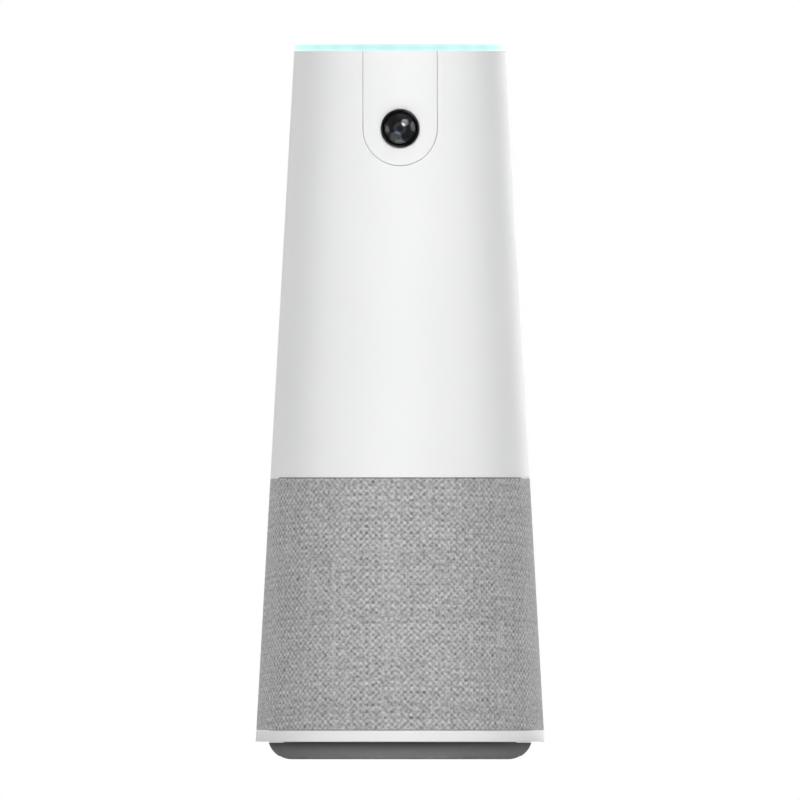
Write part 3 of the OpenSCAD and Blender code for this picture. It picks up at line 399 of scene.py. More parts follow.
def key_plastic():
    """The keys' finer and slightly glossier white, with grey paint in their sunk symbols."""
    n = Finish("key_white_plastic")
    place = n.place()
    broad = n.noise(place, 0.01, detail=3)
    white = n.patches(broad, (0.80, 0.805, 0.81, 1), (0.835, 0.838, 0.84, 1))
    level = n.split(place)[2]
    facing_up = n.split(n.add("ShaderNodeNewGeometry").outputs["True Normal"])[2]
    sunk = n.span(level, (KEY_TOP - PAINT_FULL) * MM, (KEY_TOP - PAINT_FROM) * MM, 1, 0)
    painted = n.math("MULTIPLY", sunk, n.span(facing_up, 0.9, 0.95, 0, 1))
    n.surface(
        Base_Color=n.mix(painted, white, grey(0.16)),
        Roughness=n.uneven(n.noise(place, 0.003, detail=5), 0.33, 0.38),
        Normal=n.bump(n.noise(place, 0.0002), 0.000003),
    )
    return n.material


# Heights at which the dish's painted shade is darkest, close under the tower, and where painted light
# from the floor leaves it palest
DISH_PAINTED_SHADE_Z = 6.4
DISH_PAINTED_LIGHT_Z = 1.2


def dish_plastic():
    """Dark grey satin moulding of the foot, with painted shade close under the tower and painted light
    from the floor towards its bottom.
    """
    n = Finish("dish_grey_painted_shade_and_light")
    place = n.place()
    # Painted shade and light: the grey is darkest close under the tower and palest at the bottom,
    # where the floor's light is painted in.
    low = n.span(n.split(place)[2], DISH_PAINTED_LIGHT_Z * MM, DISH_PAINTED_SHADE_Z * MM, 1, 0)
    painted_light_and_shade_grey = n.mix(low, grey(0.04), grey(0.33))
    cloud = n.uneven(n.noise(place, 0.02, detail=3), 0, 0.12, EVEN)
    n.surface(
        Base_Color=n.mix(cloud, painted_light_and_shade_grey, grey(0.12)),
        Roughness=n.uneven(n.noise(place, 0.004, detail=5), 0.42, 0.52),
        Normal=n.bump(n.noise(place, 0.0004), 0.00001),
    )
    return n.material


def rubber(name, value):
    """Dull rubber with a pebbled skin and dust in its pores."""
    n = Finish(name)
    place = n.place()
    pebble = n.noise(place, 0.0005, detail=3, roughness=0.7)
    dust = n.noise(place, 0.004, detail=5, roughness=0.7)
    n.surface(
        Base_Color=n.patches(dust, grey(value), grey(value * 1.6), (0.5, 0.8)),
        Roughness=n.uneven(pebble, 0.75, 0.9, EVEN),
        Normal=n.bump(pebble, 0.00003),
    )
    return n.material


# The ring's lamps, where its greener side lies, and how far from its middle it turns paler
LAMPS = 24.0
GREENER_AT_X = -0.04
GREENER_TO_X = -0.02
PALER_FROM = 0.4
PALER_AT = 1.3


def light_guide():
    """The lit ring: cyan, greener at one side, paler at its edges, and brighter over each lamp."""
    n = Finish("light_guide_lit")
    place = n.place()
    x, y, z = n.split(place)
    side = n.span(x, GREENER_AT_X, GREENER_TO_X, 1, 0)
    colour = n.mix(side, (0.54, 0.90, 0.89, 1), (0.49, 0.92, 0.83, 1))
    from_middle = n.math("ABSOLUTE", n.math("SUBTRACT", z, (RING_Z0 + TOTAL_H) / 2 * MM))
    rim = n.span(from_middle, PALER_FROM * MM, PALER_AT * MM, 0, 0.6)
    angle = n.math("ARCTAN2", y, x)
    over_lamp = n.math("COSINE", n.math("MULTIPLY", angle, LAMPS))
    n.surface(
        Base_Color=(0.02, 0.03, 0.03, 1),
        Roughness=n.uneven(n.noise(place, 0.002), 0.3, 0.4, EVEN),
        Emission_Color=n.mix(rim, colour, (0.9, 0.93, 0.93, 1)),
        Emission_Strength=n.span(over_lamp, -1, 1, 0.97, 1.02),
    )
    return n.material


# The cloth's grey, and how much its yarns, crossings and specks differ from it
CLOTH_GREY = 0.38
WARP_LIGHTER = 0.10
ROW_LIGHTER = 0.035
YARN_SPREAD = 0.07
MOTTLE_SPREAD = 0.42
CLOUD_SPREAD = 0.12
FIBRE_SPREAD = 0.3

# Sizes of what wanders in the cloth, in threads, and the depth of its relief in metres
SWAY_SIZE = 1 / 0.35
MOTTLE_SIZE = 1.6
CLOUD_SIZE = 9.0
STRAND_SIZE = 0.8
FIBRE_SIZE = 0.12
CLOTH_RELIEF = 0.0001


def thread_hump(n, across, along):
    """Height of a thread: round across it, and flatter along it."""
    return n.math("MULTIPLY", across, n.math("POWER", along, 0.45))


def yarn_tone(n, index, seed):
    """How light one thread is, by its number."""
    cell = n.add("ShaderNodeCombineXYZ")
    n.link(index, cell.inputs["X"])
    cell.inputs["Y"].default_value = seed
    tone = n.add("ShaderNodeTexWhiteNoise", noise_dimensions="2D")
    n.link(cell.outputs[0], tone.inputs["Vector"])
    return tone.outputs["Value"]


def woven_cloth():
    """Plain weave of light and dark grey mottled yarns, one unit of its UV map to a thread."""
    n = Finish("grey_fabric_weave")
    uv = n.add("ShaderNodeUVMap", uv_map="threads").outputs[0]

    def spread(value, amount):
        """A 0 to 1 value about its middle, scaled to an amount."""
        return n.math("MULTIPLY", n.math("SUBTRACT", value, 0.5), amount)

    def wave(value):
        """A sine wave with its zeros at whole numbers."""
        return n.math("SINE", n.math("MULTIPLY", value, math.pi))

    u, v, _ = n.split(uv)
    sway = spread(n.noise(uv, SWAY_SIZE), 0.5)
    across = n.math("ADD", u, sway)
    along = n.math("SUBTRACT", v, sway)
    column = n.math("FLOOR", across)
    row = n.math("FLOOR", along)
    warp_up = n.math("FLOORED_MODULO", n.math("ADD", column, row), 2.0)
    hump_x = wave(n.math("FRACT", across))
    hump_y = wave(n.math("FRACT", along))
    height = n.mix(warp_up, thread_hump(n, hump_y, hump_x), thread_hump(n, hump_x, hump_y), "FLOAT")
    tone = n.mix(warp_up, yarn_tone(n, row, 3.0), yarn_tone(n, column, 8.0), "FLOAT")
    crossing = n.math("MULTIPLY", wave(across), wave(along))
    odd_row = n.math("FLOORED_MODULO", row, 2.0)
    light = n.total(
        spread(tone, YARN_SPREAD),
        spread(n.noise(uv, MOTTLE_SIZE, detail=1), MOTTLE_SPREAD),
        spread(n.noise(uv, CLOUD_SIZE, detail=3), CLOUD_SPREAD),
        spread(n.noise(uv, STRAND_SIZE, detail=1), FIBRE_SPREAD),
        n.math("MULTIPLY", crossing, WARP_LIGHTER),
        n.math("MULTIPLY", odd_row, ROW_LIGHTER),
        CLOTH_GREY,
    )
    fibre = n.noise(uv, FIBRE_SIZE, detail=3, roughness=0.7)
    relief = n.math("ADD", height, n.math("MULTIPLY", fibre, 0.25))
    n.surface(
        Base_Color=n.mix(light, grey(0), grey(1)),
        Roughness=0.9,
        Normal=n.bump(relief, CLOTH_RELIEF),
        Sheen_Weight=0.25,
        Sheen_Roughness=0.5,
        Specular_IOR_Level=0.2,
    )
    return n.material


def glossy_black():
    """Polished black moulding with faint hairline scratches."""
    n = Finish("bezel_black_gloss")
    place = n.place()
    haze = n.noise(place, 0.002, detail=5, roughness=0.7)
    n.surface(
        Base_Color=n.patches(haze, grey(0.006), grey(0.0108), SPECKS),
        Roughness=n.uneven(haze, 0.09, 0.17, (0.3, 0.8)),
        Normal=n.bump(haze, 0.000002),
    )
    return n.material


def clear_glass():
    """The lens's front glass, very slightly smoked, with a trace of haze."""
    n = Finish("lens_glass_front")
    haze = n.noise(n.place(), 0.0015, detail=4)
    n.surface(
        Base_Color=(0.8, 0.84, 0.86, 1),
        Roughness=n.uneven(haze, 0.1, 0.14, SPECKS),
        Transmission_Weight=1.0,
        IOR=1.5,
    )
    return n.material


# The dark pupil, painted shade where the lens's unlit inside would show, by radius, and the coating's
# blue and violet by height from the lens axis
PUPIL_R = 0.9
PUPIL_EDGE_R = 1.4
BLUE_AT = -1.6
VIOLET_AT = 0.8


def coated_glass():
    """An inner element: its coating is blue below and violet above, round a pupil of painted shade."""
    n = Finish("lens_glass_coated")
    place = n.place()
    x, _, z = n.split(place)
    rise = n.math("SUBTRACT", z, LENS_Z * MM)
    squares = [n.math("POWER", value, 2.0) for value in (x, rise)]
    out = n.math("SQRT", n.total(*squares))
    pupil = n.span(out, PUPIL_R * MM, PUPIL_EDGE_R * MM, 1, 0)
    upper = n.span(rise, BLUE_AT * MM, VIOLET_AT * MM, 0, 1)
    tint = n.mix(upper, (0.15, 0.24, 0.33, 1), (0.34, 0.28, 0.33, 1))
    haze = n.noise(place, 0.001, detail=4)
    n.surface(
        # The pupil's dark colour is painted shade, standing for the unlit inside of the lens.
        Base_Color=n.mix(pupil, tint, (0.10, 0.03, 0.06, 1)),
        Metallic=1.0,
        Roughness=n.uneven(haze, 0.03, 0.08, SPECKS),
    )
    return n.material


# Pieces of the tower


def trim_ring():
    """White ring at the tower's foot, with the upstand inside the cloth and the lip."""
    outline = rounded([
        (TRIM_BORE, TRIM_Z0, 0.2),
        (LIP_R0, TRIM_Z0, 0),
        (LIP_R0, LIP_Z0, 0.05),
        (LIP_R1, LIP_Z0, 0.05),
        (LIP_R1, TRIM_Z0, 0),
        (skin_r(TRIM_Z0), TRIM_Z0, 0.15),
        (skin_r(TRIM_Z1), TRIM_Z1, 0.3),
        (UPSTAND_R, TRIM_Z1, 0),
        (UPSTAND_R, UPSTAND_TOP, 0.2),
        (TRIM_BORE, UPSTAND_TOP, 0.2),
    ])
    piece = lathe("trim_ring_body", outline)
    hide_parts("trim_ring")
    return piece


# The cloth's thread pitch, hems, seam and mesh steps
THREAD = 1.208
SLOPE = math.atan((BASE_R - TOP_R) / (TOTAL_H - TRIM_Z0))
HEM_R = 0.34
HEM_STEPS = 4
SEAM_HALF = 0.35
SEAM_DEPTH = 0.22
SEAM_AT_R = 50
SEAM_PLACES = (4, 2.2, 1.3, 0.8, 0.4, 0)
CLOTH_LEVELS = 96
CLOTH_HALF_TURN = 200
CLOTH_PLAIN = 197


def sleeve_section():
    """The cloth's section: (offset from the skin, height) points with rounded hems."""
    soft = rounded([
        (0, FABRIC_Z0, HEM_R),
        (0, FABRIC_TOP, HEM_R),
        (-FABRIC_T, FABRIC_TOP, HEM_R),
        (-FABRIC_T, FABRIC_Z0, HEM_R),
    ], HEM_STEPS)
    start = FABRIC_Z0 + HEM_R
    rise = FABRIC_TOP - FABRIC_Z0 - 2 * HEM_R
    face = [(0.0, start + rise * k / CLOTH_LEVELS) for k in range(1, CLOTH_LEVELS)]
    first_hem = HEM_STEPS + 1
    return soft[:first_hem] + face + soft[first_hem:]


def sleeve_angles():
    """Angles round the cloth, closer together at the seam at the rear."""
    plain = [math.pi * k / CLOTH_HALF_TURN for k in range(CLOTH_PLAIN)]
    half = plain + [math.pi - SEAM_HALF * place / SEAM_AT_R for place in SEAM_PLACES]
    return half + [-a for a in reversed(half[1:-1])]


def seam_dip(a):
    """How deep the seam draws the cloth's outer face in at an angle."""
    distance = (math.pi - abs(a)) * SEAM_AT_R
    return SEAM_DEPTH * math.exp(-(distance / SEAM_HALF) ** 2)


def lay_threads(bm, grid, section, angles):
    """Maps the cloth flat, as the skin of a cone lies flat, with one unit to a thread."""
    layer = bm.loops.layers.uv.new("threads")
    apex = BASE_R / math.sin(SLOPE)
    seen = {}
    for (_, z), row in zip(section, grid):
        slant = apex - (z - TRIM_Z0) / math.cos(SLOPE)
        for a, vert in zip(angles, row):
            seen[vert] = (slant, a)
    for face in bm.faces:
        turns = [seen[loop.vert][1] for loop in face.loops]
        wraps = max(turns) - min(turns) > math.pi
        for loop in face.loops:
            slant, a = seen[loop.vert]
            if wraps and a < 0:
                a += 2 * math.pi
            bend = a * math.sin(SLOPE)
            u = slant * math.sin(bend) / THREAD
            v = (slant * math.cos(bend) - apex) / THREAD
            loop[layer].uv = (u, v)


def fabric_sleeve():
    """The cloth round the speaker, with folded edges and a butt seam at the rear."""
    section = sleeve_section()
    angles = sleeve_angles()
    rows = []
    for offset, z in section:
        outside = offset > -FABRIC_T / 2
        rows.append([
            upright(skin_r(z) + offset - (seam_dip(a) if outside else 0), z, a) for a in angles
        ])
    bm = bmesh.new()
    grid = add_grid(bm, rows, closed_rows=True, closed_columns=True)
    lay_threads(bm, grid, section, angles)
    piece = finish_mesh("fabric_sleeve_cloth", bm, "tower", sharp=60)
    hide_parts("fabric_sleeve")
    return piece


def light_ring():
    """The lit ring round the top, with its skirt inside the shell."""
    outline = rounded([
        (RING_BORE, TOTAL_H, 0.25),
        (TOP_R, TOTAL_H, 0.5),
        (skin_r(RING_Z0), RING_Z0, 0.15),
        (SKIRT_R, RING_Z0, 0),
        (SKIRT_R, SKIRT_Z0, 0),
        (SKIRT_BORE, SKIRT_Z0, 0),
        (SKIRT_BORE, LEDGE_Z0, 0),
        (LEDGE_R, LEDGE_Z0, 0),
        (LEDGE_R, LEDGE_Z1, 0),
        (RING_BORE, LEDGE_Z1, 0),
    ])
    piece = lathe("light_ring_guide", outline)
    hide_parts("light_ring")
    return piece


# The shell and the camera panel share the tongue's outline, inside a square patch
PATCH = 22.0
SIDE_STEPS = 24
ARC_STEPS = 64
PATCH_STEPS = 6
REAR_COLUMNS = 176
CONE_STEPS = 28
PANEL_TOP_STEPS = 20
PANEL_STEPS = 14

# Distances of the mesh's lines from the rounded edges, where they start close together
BELOW_TOP = (0.6, 1.2)
ABOVE_BOTTOM = (0.6, 1.5)
ROUND_MOUTH = (0.15, 0.5, 1.2, 2.4)
INSIDE_PANEL = (0.15, 0.5)
ROUND_HOLE = 0.3
HOLE_EDGE_R = EDGE_R * 0.7


def side_levels(top):
    """Heights of the tongue's straight sides, from the top down to the lens axis."""
    near = [top - d for d, _ in edge_rows(EDGE_R)] + [top - d for d in BELOW_TOP]
    span = near[-1] - LENS_Z
    return near + [near[-1] - span * k / SIDE_STEPS for k in range(1, SIDE_STEPS + 1)]


def lower_arc(first, last):
    """Angles of the tongue's lower end, from its left side round to its right side."""
    return [math.pi + math.pi * k / ARC_STEPS for k in range(first, last)]


def down_and_up(half, levels, reach):
    """Points (x, z) down the left side, round the lower end and up the right side."""
    left = [(-half, z) for z in levels]
    arc = []
    for a in lower_arc(1, ARC_STEPS):
        r = reach(a)
        arc.append((r * math.cos(a), LENS_Z + r * math.sin(a)))
    right = [(half, z) for z in reversed(levels)]
    return left + arc + right


def tongue_line(half, levels):
    """Points along the tongue, whose lower end is a half circle."""
    return down_and_up(half, levels, lambda a: half)


def patch_line(levels):
    """The same number of points along the square patch round the tongue."""
    return down_and_up(PATCH, levels, lambda a: PATCH / max(abs(math.cos(a)), abs(math.sin(a))))


def on_skin(x, z, drop=0.0, wall=0.0):
    """A point of the skin straight behind (x, z) in the front view, or under it by a wall."""
    r = skin_r(z) - drop
    y = -math.sqrt(max(r * r - x * x, 0))
    share = (r - wall) / r
    return Vector((x * share, y * share, z)) * MM


def ends_drop(z):
    """Drop of the shell's skin where it rounds over at its lower and upper edge."""
    return edge_drop(z - SHELL_Z0) + edge_drop(SHELL_Z1 - z)


def shell_row(z, angles):
    """Points of the shell's outer skin and of its inner skin at a height."""
    outer = skin_r(z) - ends_drop(z)
    inner = skin_r(z) - SHELL_WALL
    return [upright(outer, z, a) for a in angles], [upright(inner, z, a) for a in angles]


def rear_angles(start):
    """Angles round the rear, from the patch's right side to its left side."""
    sweep = 2 * math.pi - 2 * start
    return [start + sweep * k / REAR_COLUMNS for k in range(REAR_COLUMNS + 1)]


def shell_patch(bm, levels):
    """The shell's front, from the notch's rounded edge out to the patch's outline."""
    mouth = PANEL_R + HAIRLINE
    offsets = edge_rows(EDGE_R) + [(EDGE_R + d, 0.0) for d in ROUND_MOUTH]
    rows = [
        [(x, z, drop) for x, z in tongue_line(mouth + distance, levels)]
        for distance, drop in offsets
    ]
    last = tongue_line(mouth + offsets[-1][0], levels)
    for k in range(1, PATCH_STEPS + 1):
        t = k / PATCH_STEPS
        rows.append([
            (a[0] + (b[0] - a[0]) * t, a[1] + (b[1] - a[1]) * t, 0.0)
            for a, b in zip(last, patch_line(levels))
        ])
    front = [[on_skin(x, z, drop + ends_drop(z)) for x, z, drop in row] for row in rows]
    back = [[on_skin(x, z, 0, SHELL_WALL) for x, z, drop in row] for row in rows]
    add_grid(bm, front)
    add_grid(bm, back)
    add_grid(bm, [front[0], back[0]])
    for end in (0, -1):
        add_grid(bm, [[row[end] for row in front], [row[end] for row in back]])


def shell_rear(bm, levels):
    """The shell's rear beside the patch, with its top rim."""
    slopes = [math.tan(math.pi * k / ARC_STEPS) for k in range(1, ARC_STEPS // 4 + 1)]
    rows = []
    for z in levels + [LENS_Z - PATCH * slope for slope in slopes]:
        start = math.asin(PATCH / (skin_r(z) - ends_drop(z)))
        rows.append(shell_row(z, rear_angles(start)))
    add_grid(bm, [row[0] for row in rows])
    add_grid(bm, [row[1] for row in rows])
    add_grid(bm, rows[0])


def shell_cone(bm):
    """The plain cone below the patch, down to the rounded lower edge."""
    bottom = LENS_Z - PATCH
    r = skin_r(bottom)
    quarter = ARC_STEPS // 4
    angles = [
        math.asin(PATCH * math.cos(a) / abs(math.sin(a)) / r)
        for a in lower_arc(quarter, 3 * quarter + 1)
    ]
    angles += rear_angles(math.asin(PATCH / r))[1:-1]
    low = [SHELL_Z0 + d for d, _ in edge_rows(EDGE_R)] + [SHELL_Z0 + d for d in ABOVE_BOTTOM]
    heights = [bottom + (low[-1] - bottom) * k / CONE_STEPS for k in range(CONE_STEPS + 1)]
    heights += reversed(low[:-1])
    rows = [shell_row(z, angles) for z in heights]
    add_grid(bm, [row[0] for row in rows], closed_columns=True)
    add_grid(bm, [row[1] for row in rows], closed_columns=True)
    add_grid(bm, rows[-1], closed_columns=True)


def upper_shell():
    """The tapered white shell with the notch that the camera panel fills."""
    bm = bmesh.new()
    levels = side_levels(SHELL_Z1)
    shell_patch(bm, levels)
    shell_rear(bm, levels)
    shell_cone(bm)
    piece = finish_mesh("upper_shell_body", bm, "tower")
    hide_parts("upper_shell")
    return piece


def panel_rim(distance):
    """Points round the panel at a distance inside its edge."""
    half = PANEL_R - distance
    top = SHELL_Z1 - distance
    span = top - LENS_Z
    levels = [top - span * k / SIDE_STEPS for k in range(SIDE_STEPS + 1)]
    rim = [(half - 2 * half * k / PANEL_TOP_STEPS, top) for k in range(1, PANEL_TOP_STEPS)]
    return tongue_line(half, levels) + rim


def toward_lens(x, z, r):
    """The point at a radius from the lens axis on the way to it from (x, z)."""
    length = math.hypot(x, z - LENS_Z)
    return x / length * r, LENS_Z + (z - LENS_Z) / length * r


def camera_panel():
    """The white tongue that carries the lens, flush in the shell's notch."""
    hole = LENS_R + SNUG
    offsets = edge_rows(EDGE_R) + [(EDGE_R + d, 0.0) for d in INSIDE_PANEL]
    rows = [[(x, z, drop) for x, z in panel_rim(distance)] for distance, drop in offsets]
    last = [(x, z) for x, z, _ in rows[-1]]
    goals = [toward_lens(x, z, hole + EDGE_R + ROUND_HOLE) for x, z in last]
    for k in range(1, PANEL_STEPS + 1):
        t = k / PANEL_STEPS
        rows.append([
            (a[0] + (b[0] - a[0]) * t, a[1] + (b[1] - a[1]) * t, 0.0) for a, b in zip(last, goals)
        ])
    for distance, drop in reversed(edge_rows(HOLE_EDGE_R)):
        rows.append([(*toward_lens(x, z, hole + distance), drop) for x, z in last])
    bm = bmesh.new()
    front = [[on_skin(x, z, drop) for x, z, drop in row] for row in rows]
    back = [[on_skin(x, z, 0, PANEL_WALL) for x, z, drop in row] for row in rows]
    for grid in (front, back, [front[0], back[0]], [front[-1], back[-1]]):
        add_grid(bm, grid, closed_columns=True)
    piece = finish_mesh("camera_panel_body", bm, "tower")
    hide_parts("camera_panel")
    return piece


# The lens


def dome(sphere, reach, front, steps):
    """Points (radius, distance forward) of a dome, from its front out to a radius."""
    limit = math.asin(reach / sphere)
    centre = front - sphere
    turns = [limit * k / steps for k in range(steps + 1)]
    return [(sphere * math.sin(a), centre + sphere * math.cos(a)) for a in turns]


def lens_bezel():
    """Black ring that holds the front glass."""
    back = PANEL_FACE - PANEL_WALL
    outline = rounded([
        (BARREL_R + SNUG, back, 0),
        (LENS_R, back, 0),
        (LENS_R, BEZEL_FRONT, 0.66),
        (GLASS_R + SNUG, BEZEL_FRONT, 0.03),
        (GLASS_R + SNUG, BARREL_FRONT, 0),
        (BARREL_R + SNUG, BARREL_FRONT, 0),
    ])
    piece = lathe("lens_bezel_ring", outline, on_lens, LENS_COLUMNS)
    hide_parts("lens_bezel")
    return piece


# The front glass's mesh steps, the depth of its rim and how far its inner face stops short
GLASS_STEPS = 28
GLASS_EDGE = 0.35
GLASS_INSET = 0.25


def front_glass():
    """Domed front glass, as thick at the rim as in the middle."""
    outer = dome(GLASS_SPHERE, GLASS_R, GLASS_FRONT, GLASS_STEPS)
    inner = dome(GLASS_SPHERE - GLASS_T, GLASS_R - GLASS_INSET, GLASS_FRONT - GLASS_T, GLASS_STEPS)
    rim = [(GLASS_R, outer[-1][1] - GLASS_EDGE)]
    outline = outer + rim + inner[::-1]
    piece = lathe("front_glass_dome", outline, on_lens, LENS_COLUMNS, closed=False)
    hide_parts("front_glass")
    return piece


# The barrel's baffles: their number, the share of a step that slopes, and how sharp they end
BAFFLES = 9
BAFFLE_SLOPE = 0.25
BAFFLE_END = 0.02
THROAT_STEP = 0.15
THROAT_FALL = 0.1


def lens_barrel():
    """Black barrel whose flare is stepped by fine baffles."""
    wide = BARREL_R - FLARE_RIM
    narrow = THROAT_R + THROAT_STEP
    flare_back = BARREL_FRONT - FLARE_DEPTH
    outline = [(BARREL_R, BARREL_BACK), (BARREL_R, BARREL_FRONT)]
    for k in range(BAFFLES):
        t0 = k / BAFFLES
        t1 = (k + 1) / BAFFLES
        r0 = wide + (narrow - wide) * t0
        r1 = wide + (narrow - wide) * t1
        outline.append((r0, BARREL_FRONT - FLARE_DEPTH * t0))
        outline.append((r0 - (r0 - r1) * BAFFLE_SLOPE, BARREL_FRONT - FLARE_DEPTH * (t1 - BAFFLE_END)))
        outline.append((r1, BARREL_FRONT - FLARE_DEPTH * t1))
    outline += [(THROAT_R, flare_back - THROAT_FALL), (THROAT_R, BARREL_BACK)]
    piece = lathe("lens_barrel_tube", outline, on_lens, LENS_COLUMNS, sharp=20)
    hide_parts("lens_barrel")
    return piece


# The inner element: its sizes, how far it stands in front of the flare's end, and mesh steps
ELEMENT_R = 3.3
ELEMENT_SPHERE = 7.6
ELEMENT_RISE = 1.2
ELEMENT_EDGE = 0.9
ELEMENT_STEPS = 20
ELEMENT_COLUMNS = 96


def lens_elements():
    """The domed inner element, the only one that shows through the front glass."""
    front = BARREL_FRONT - FLARE_DEPTH + ELEMENT_RISE
    face = dome(ELEMENT_SPHERE, ELEMENT_R, front, ELEMENT_STEPS)
    back = face[-1][1] - ELEMENT_EDGE
    outline = face + [(ELEMENT_R, back), (0.0, back)]
    piece = lathe("lens_elements_dome", outline, on_lens, ELEMENT_COLUMNS, closed=False)
    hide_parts("lens_elements")
    return piece


# Finishes by material slot


def outer_finishes():
    """A material for each slot that shows from outside."""
    return {
        "white_shell": white_plastic(),
        "key_white": key_plastic(),
        "dish_grey": dish_plastic(),
        "foot_rubber": rubber("foot_rubber_grip", 0.38),
        "light_guide": light_guide(),
        "grey_fabric": woven_cloth(),
        "bezel_black": glossy_black(),
        "barrel_black": moulded("barrel_black_matt", grey(0.008), 0.45, grain=0.0002),
        "lens_glass": coated_glass(),
    }


def inner_finishes():
    """A material for each of the other slots."""
    return {
        "inner_plastic": moulded("inner_plastic_black", grey(0.02), 0.5),
        "steel": metal("steel_bright", (0.55, 0.56, 0.58, 1), 0.3),
        "nut_aluminium": metal("nut_aluminium_plain", (0.68, 0.69, 0.71, 1), 0.35),
        "brass": metal("brass_turned", (0.72, 0.52, 0.22, 1), 0.28),
        "board_green": moulded("board_green_mask", (0.02, 0.13, 0.05, 1), 0.35, grain=0.0008),
        "socket_metal": metal("socket_metal_plated", (0.72, 0.73, 0.75, 1), 0.2),
        "socket_black": moulded("socket_black_moulded", grey(0.012), 0.5),
        "gear_nylon": moulded("gear_nylon_natural", (0.68, 0.65, 0.55, 1), 0.5),
        "cable_black": moulded("cable_black_jacket", grey(0.012), 0.55),
        "grille_black": moulded("grille_black_moulded", grey(0.03), 0.6),
        "box_black": moulded("box_black_moulded", grey(0.02), 0.6, grain=0.0008, depth=0.00002),
        "driver_metal": metal("driver_metal_stamped", (0.45, 0.46, 0.47, 1), 0.4),
        "magnet": moulded("magnet_ferrite", grey(0.04), 0.55, grain=0.001, depth=0.00003),
        "cone_paper": moulded("cone_paper_pulp", grey(0.02), 0.8, grain=0.0007, depth=0.00004),
        "surround_rubber": rubber("surround_rubber_roll", 0.02),
        "sensor": moulded("sensor_die", (0.05, 0.04, 0.09, 1), 0.15),
        "lamp": moulded("lamp_package", (0.8, 0.78, 0.6, 1), 0.3),
    }


def slots_by_node(record):
    """The material slot that the record names for each CAD node."""
    return {part["node"]: part["material_slot"] for part in record["subparts"]}


def dress(finishes):
    """Gives every CAD node the material of its slot."""
    slots = slots_by_node(frame["record"])
    for name, node in frame["nodes"].items():
        node.data.materials.clear()
        node.data.materials.append(finishes[slots[name]])


def build():
    """Dresses the CAD nodes, and makes the finer pieces that replace some of them."""
    finishes = {**outer_finishes(), **inner_finishes()}
    dress(finishes)
    pieces = [
        (trim_ring, finishes["white_shell"]),
        (upper_shell, finishes["white_shell"]),
        (camera_panel, finishes["white_shell"]),
        (fabric_sleeve, finishes["grey_fabric"]),
        (light_ring, finishes["light_guide"]),
        (lens_bezel, finishes["bezel_black"]),
        (front_glass, clear_glass()),
        (lens_barrel, finishes["barrel_black"]),
        (lens_elements, finishes["lens_glass"]),
    ]
    for make, material in pieces:
        make().data.materials.append(material)


# Floor, light and camera

# The floor's half width and height in metres, and how bright it glows of itself
FLOOR_SIDE = 3.0
FLOOR_Z = -0.00003
FLOOR_GLOW = 0.12
FLOOR_IN_GLOSS = 0.18

# The camera sees the floor fade to white between these distances from the foot
FLOOR_WHITE_FROM = 0.16
FLOOR_WHITE_AT = 0.55


def floor_finish():
    """Pale matt floor, plain and dim to reflections, and white to the camera far out."""
    n = Finish("floor_pale")
    place = n.place()
    lit = n.surface(
        Base_Color=n.patches(n.noise(place, 0.4, detail=3), grey(0.84), grey(0.86)),
        Roughness=0.7,
        Emission_Color=grey(1.0),
        Emission_Strength=FLOOR_GLOW,
    )
    path = n.add("ShaderNodeLightPath").outputs
    reflected = n.math("MAXIMUM", path["Is Glossy Ray"], path["Is Transmission Ray"])
    near = n.either(reflected, lit, n.glow(FLOOR_IN_GLOSS))
    reach = n.add("ShaderNodeVectorMath", operation="LENGTH")
    n.link(place, reach.inputs[0])
    fade = n.span(reach.outputs["Value"], FLOOR_WHITE_FROM, FLOOR_WHITE_AT, 0, 1)
    far = n.math("MULTIPLY", fade, path["Is Camera Ray"])
    n.shown(n.either(far, near, n.glow(1.0)))
    return n.material


def floor():
    """A plain pale floor just under the foot, softly lit from beneath as a light table is."""
    bm = bmesh.new()
    ends = (-FLOOR_SIDE, FLOOR_SIDE)
    add_grid(bm, [[Vector((x, y, FLOOR_Z)) for x in ends] for y in ends])
    mesh = bpy.data.meshes.new("floor")
    bm.to_mesh(mesh)
    bm.free()
    piece = bpy.data.objects.new("floor", mesh)
    bpy.context.scene.collection.objects.link(piece)
    piece.data.materials.append(floor_finish())


# What the lights and cards are aimed at, in millimetres
TOWER_MIDDLE = (0, 0, 130)
LENS_FRONT = (0, -44, LENS_Z)

# Name, azimuth and elevation in degrees, distance and size in metres, radiance
SOFT_BOXES = [
    ("key_front", 0, 24, 1.6, 1.24, 4.55),
    ("top_soft", 0, 78, 1.3, 1.0, 2.0),
    ("rim_right", 145, 12, 1.3, 0.8, 6.2),
    ("rim_left", -142, 12, 1.3, 0.7, 5.0),
]

# The same for the cards, each with what it is aimed at
CARDS = [
    ("card_left", -70, -5, 0.9, 0.62, 1.35, LENS_FRONT),
    ("card_right", 68, 8, 0.9, 0.62, 1.5, LENS_FRONT),
    ("card_high", 25, 28, 0.9, 0.46, 3.6, LENS_FRONT),
    ("card_rear", 155, 3, 1.3, 0.9, 1.4, TOWER_MIDDLE),
    ("card_low", 0, -75, 0.21, 0.18, 1.5, LENS_FRONT),
    ("card_low_left", -24, -42, 0.25, 0.24, 0.7, LENS_FRONT),
]


def soft_box(name, azimuth, elevation, distance, size, radiance, at=TOWER_MIDDLE):
    """A round soft box aimed at a point, which reflections don't show."""
    data = bpy.data.lights.new(name, "AREA")
    data.shape = "DISK"
    data.size = size
    data.energy = radiance * math.pi * math.pi * size * size / 4
    lamp = bpy.data.objects.new(name, data)
    bpy.context.scene.collection.objects.link(lamp)
    a = math.radians(azimuth)
    e = math.radians(elevation)
    back = Vector((math.sin(a) * math.cos(e), -math.cos(a) * math.cos(e), math.sin(e)))
    lamp.location = Vector(at) * MM + back * distance
    lamp.rotation_mode = "QUATERNION"
    lamp.rotation_quaternion = (-back).to_track_quat("-Z", "Y")
    lamp.visible_camera = False
    lamp.visible_glossy = False
    lamp.visible_transmission = False
    return lamp


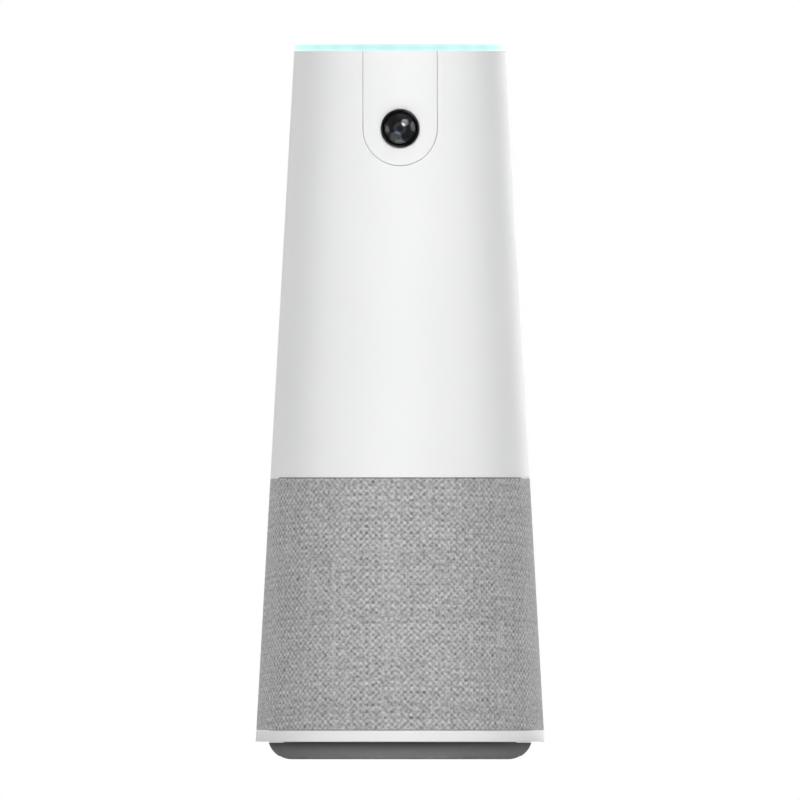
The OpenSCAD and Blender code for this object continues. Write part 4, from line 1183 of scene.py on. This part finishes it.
def card(*settings):
    """A bright card that only reflections and the clear glass show."""
    lamp = soft_box(*settings)
    lamp.visible_glossy = True
    lamp.visible_transmission = True
    lamp.visible_diffuse = False


# The world's strength on matt surfaces, and in reflections that go to the front or the rear
AMBIENT = 0.06
GLOSS_FRONT = 0.18
GLOSS_REAR = 1.0
FRONT_ENDS_Y = -0.2
REAR_STARTS_Y = 0.5


def world_light():
    """Dim even light, white to the camera, and whiter to reflections towards the rear."""
    world = bpy.data.worlds.new("studio")
    bpy.context.scene.world = world
    world.use_nodes = True
    g = Graph(world.node_tree, "ShaderNodeOutputWorld")
    path = g.add("ShaderNodeLightPath").outputs
    behind = g.split(g.add("ShaderNodeTexCoord").outputs["Generated"])[1]
    strength = g.span(behind, FRONT_ENDS_Y, REAR_STARTS_Y, GLOSS_FRONT, GLOSS_REAR)
    reflected = g.math("MAXIMUM", path["Is Glossy Ray"], path["Is Transmission Ray"])
    seen = g.math("MAXIMUM", g.math("MULTIPLY", reflected, strength), path["Is Camera Ray"])
    white = g.add("ShaderNodeBackground")
    white.inputs["Color"].default_value = grey(1)
    g.link(g.math("MAXIMUM", seen, AMBIENT), white.inputs["Strength"])
    g.shown(white.outputs[0])


def studio():
    """Soft boxes in front, above and behind, and cards for the lens and the shell's gloss."""
    world_light()
    for settings in SOFT_BOXES:
        soft_box(*settings)
    for settings in CARDS:
        card(*settings)


# The view's width and the camera's place, in metres
VIEW_WIDTH = 0.30197
CAMERA_AT = (-0.00003, -1.2, 0.13559)


def camera():
    """Level orthographic camera in front, framed as the photograph is."""
    data = bpy.data.cameras.new("camera")
    data.type = "ORTHO"
    data.ortho_scale = VIEW_WIDTH
    data.clip_start = 0.01
    data.clip_end = 20
    view = bpy.data.objects.new("camera", data)
    bpy.context.scene.collection.objects.link(view)
    view.location = CAMERA_AT
    view.rotation_euler = (math.pi / 2, 0, 0)
    bpy.context.scene.camera = view


camera()
studio()
floor()
build()

bpy.context.scene.view_settings.view_transform = "Standard"
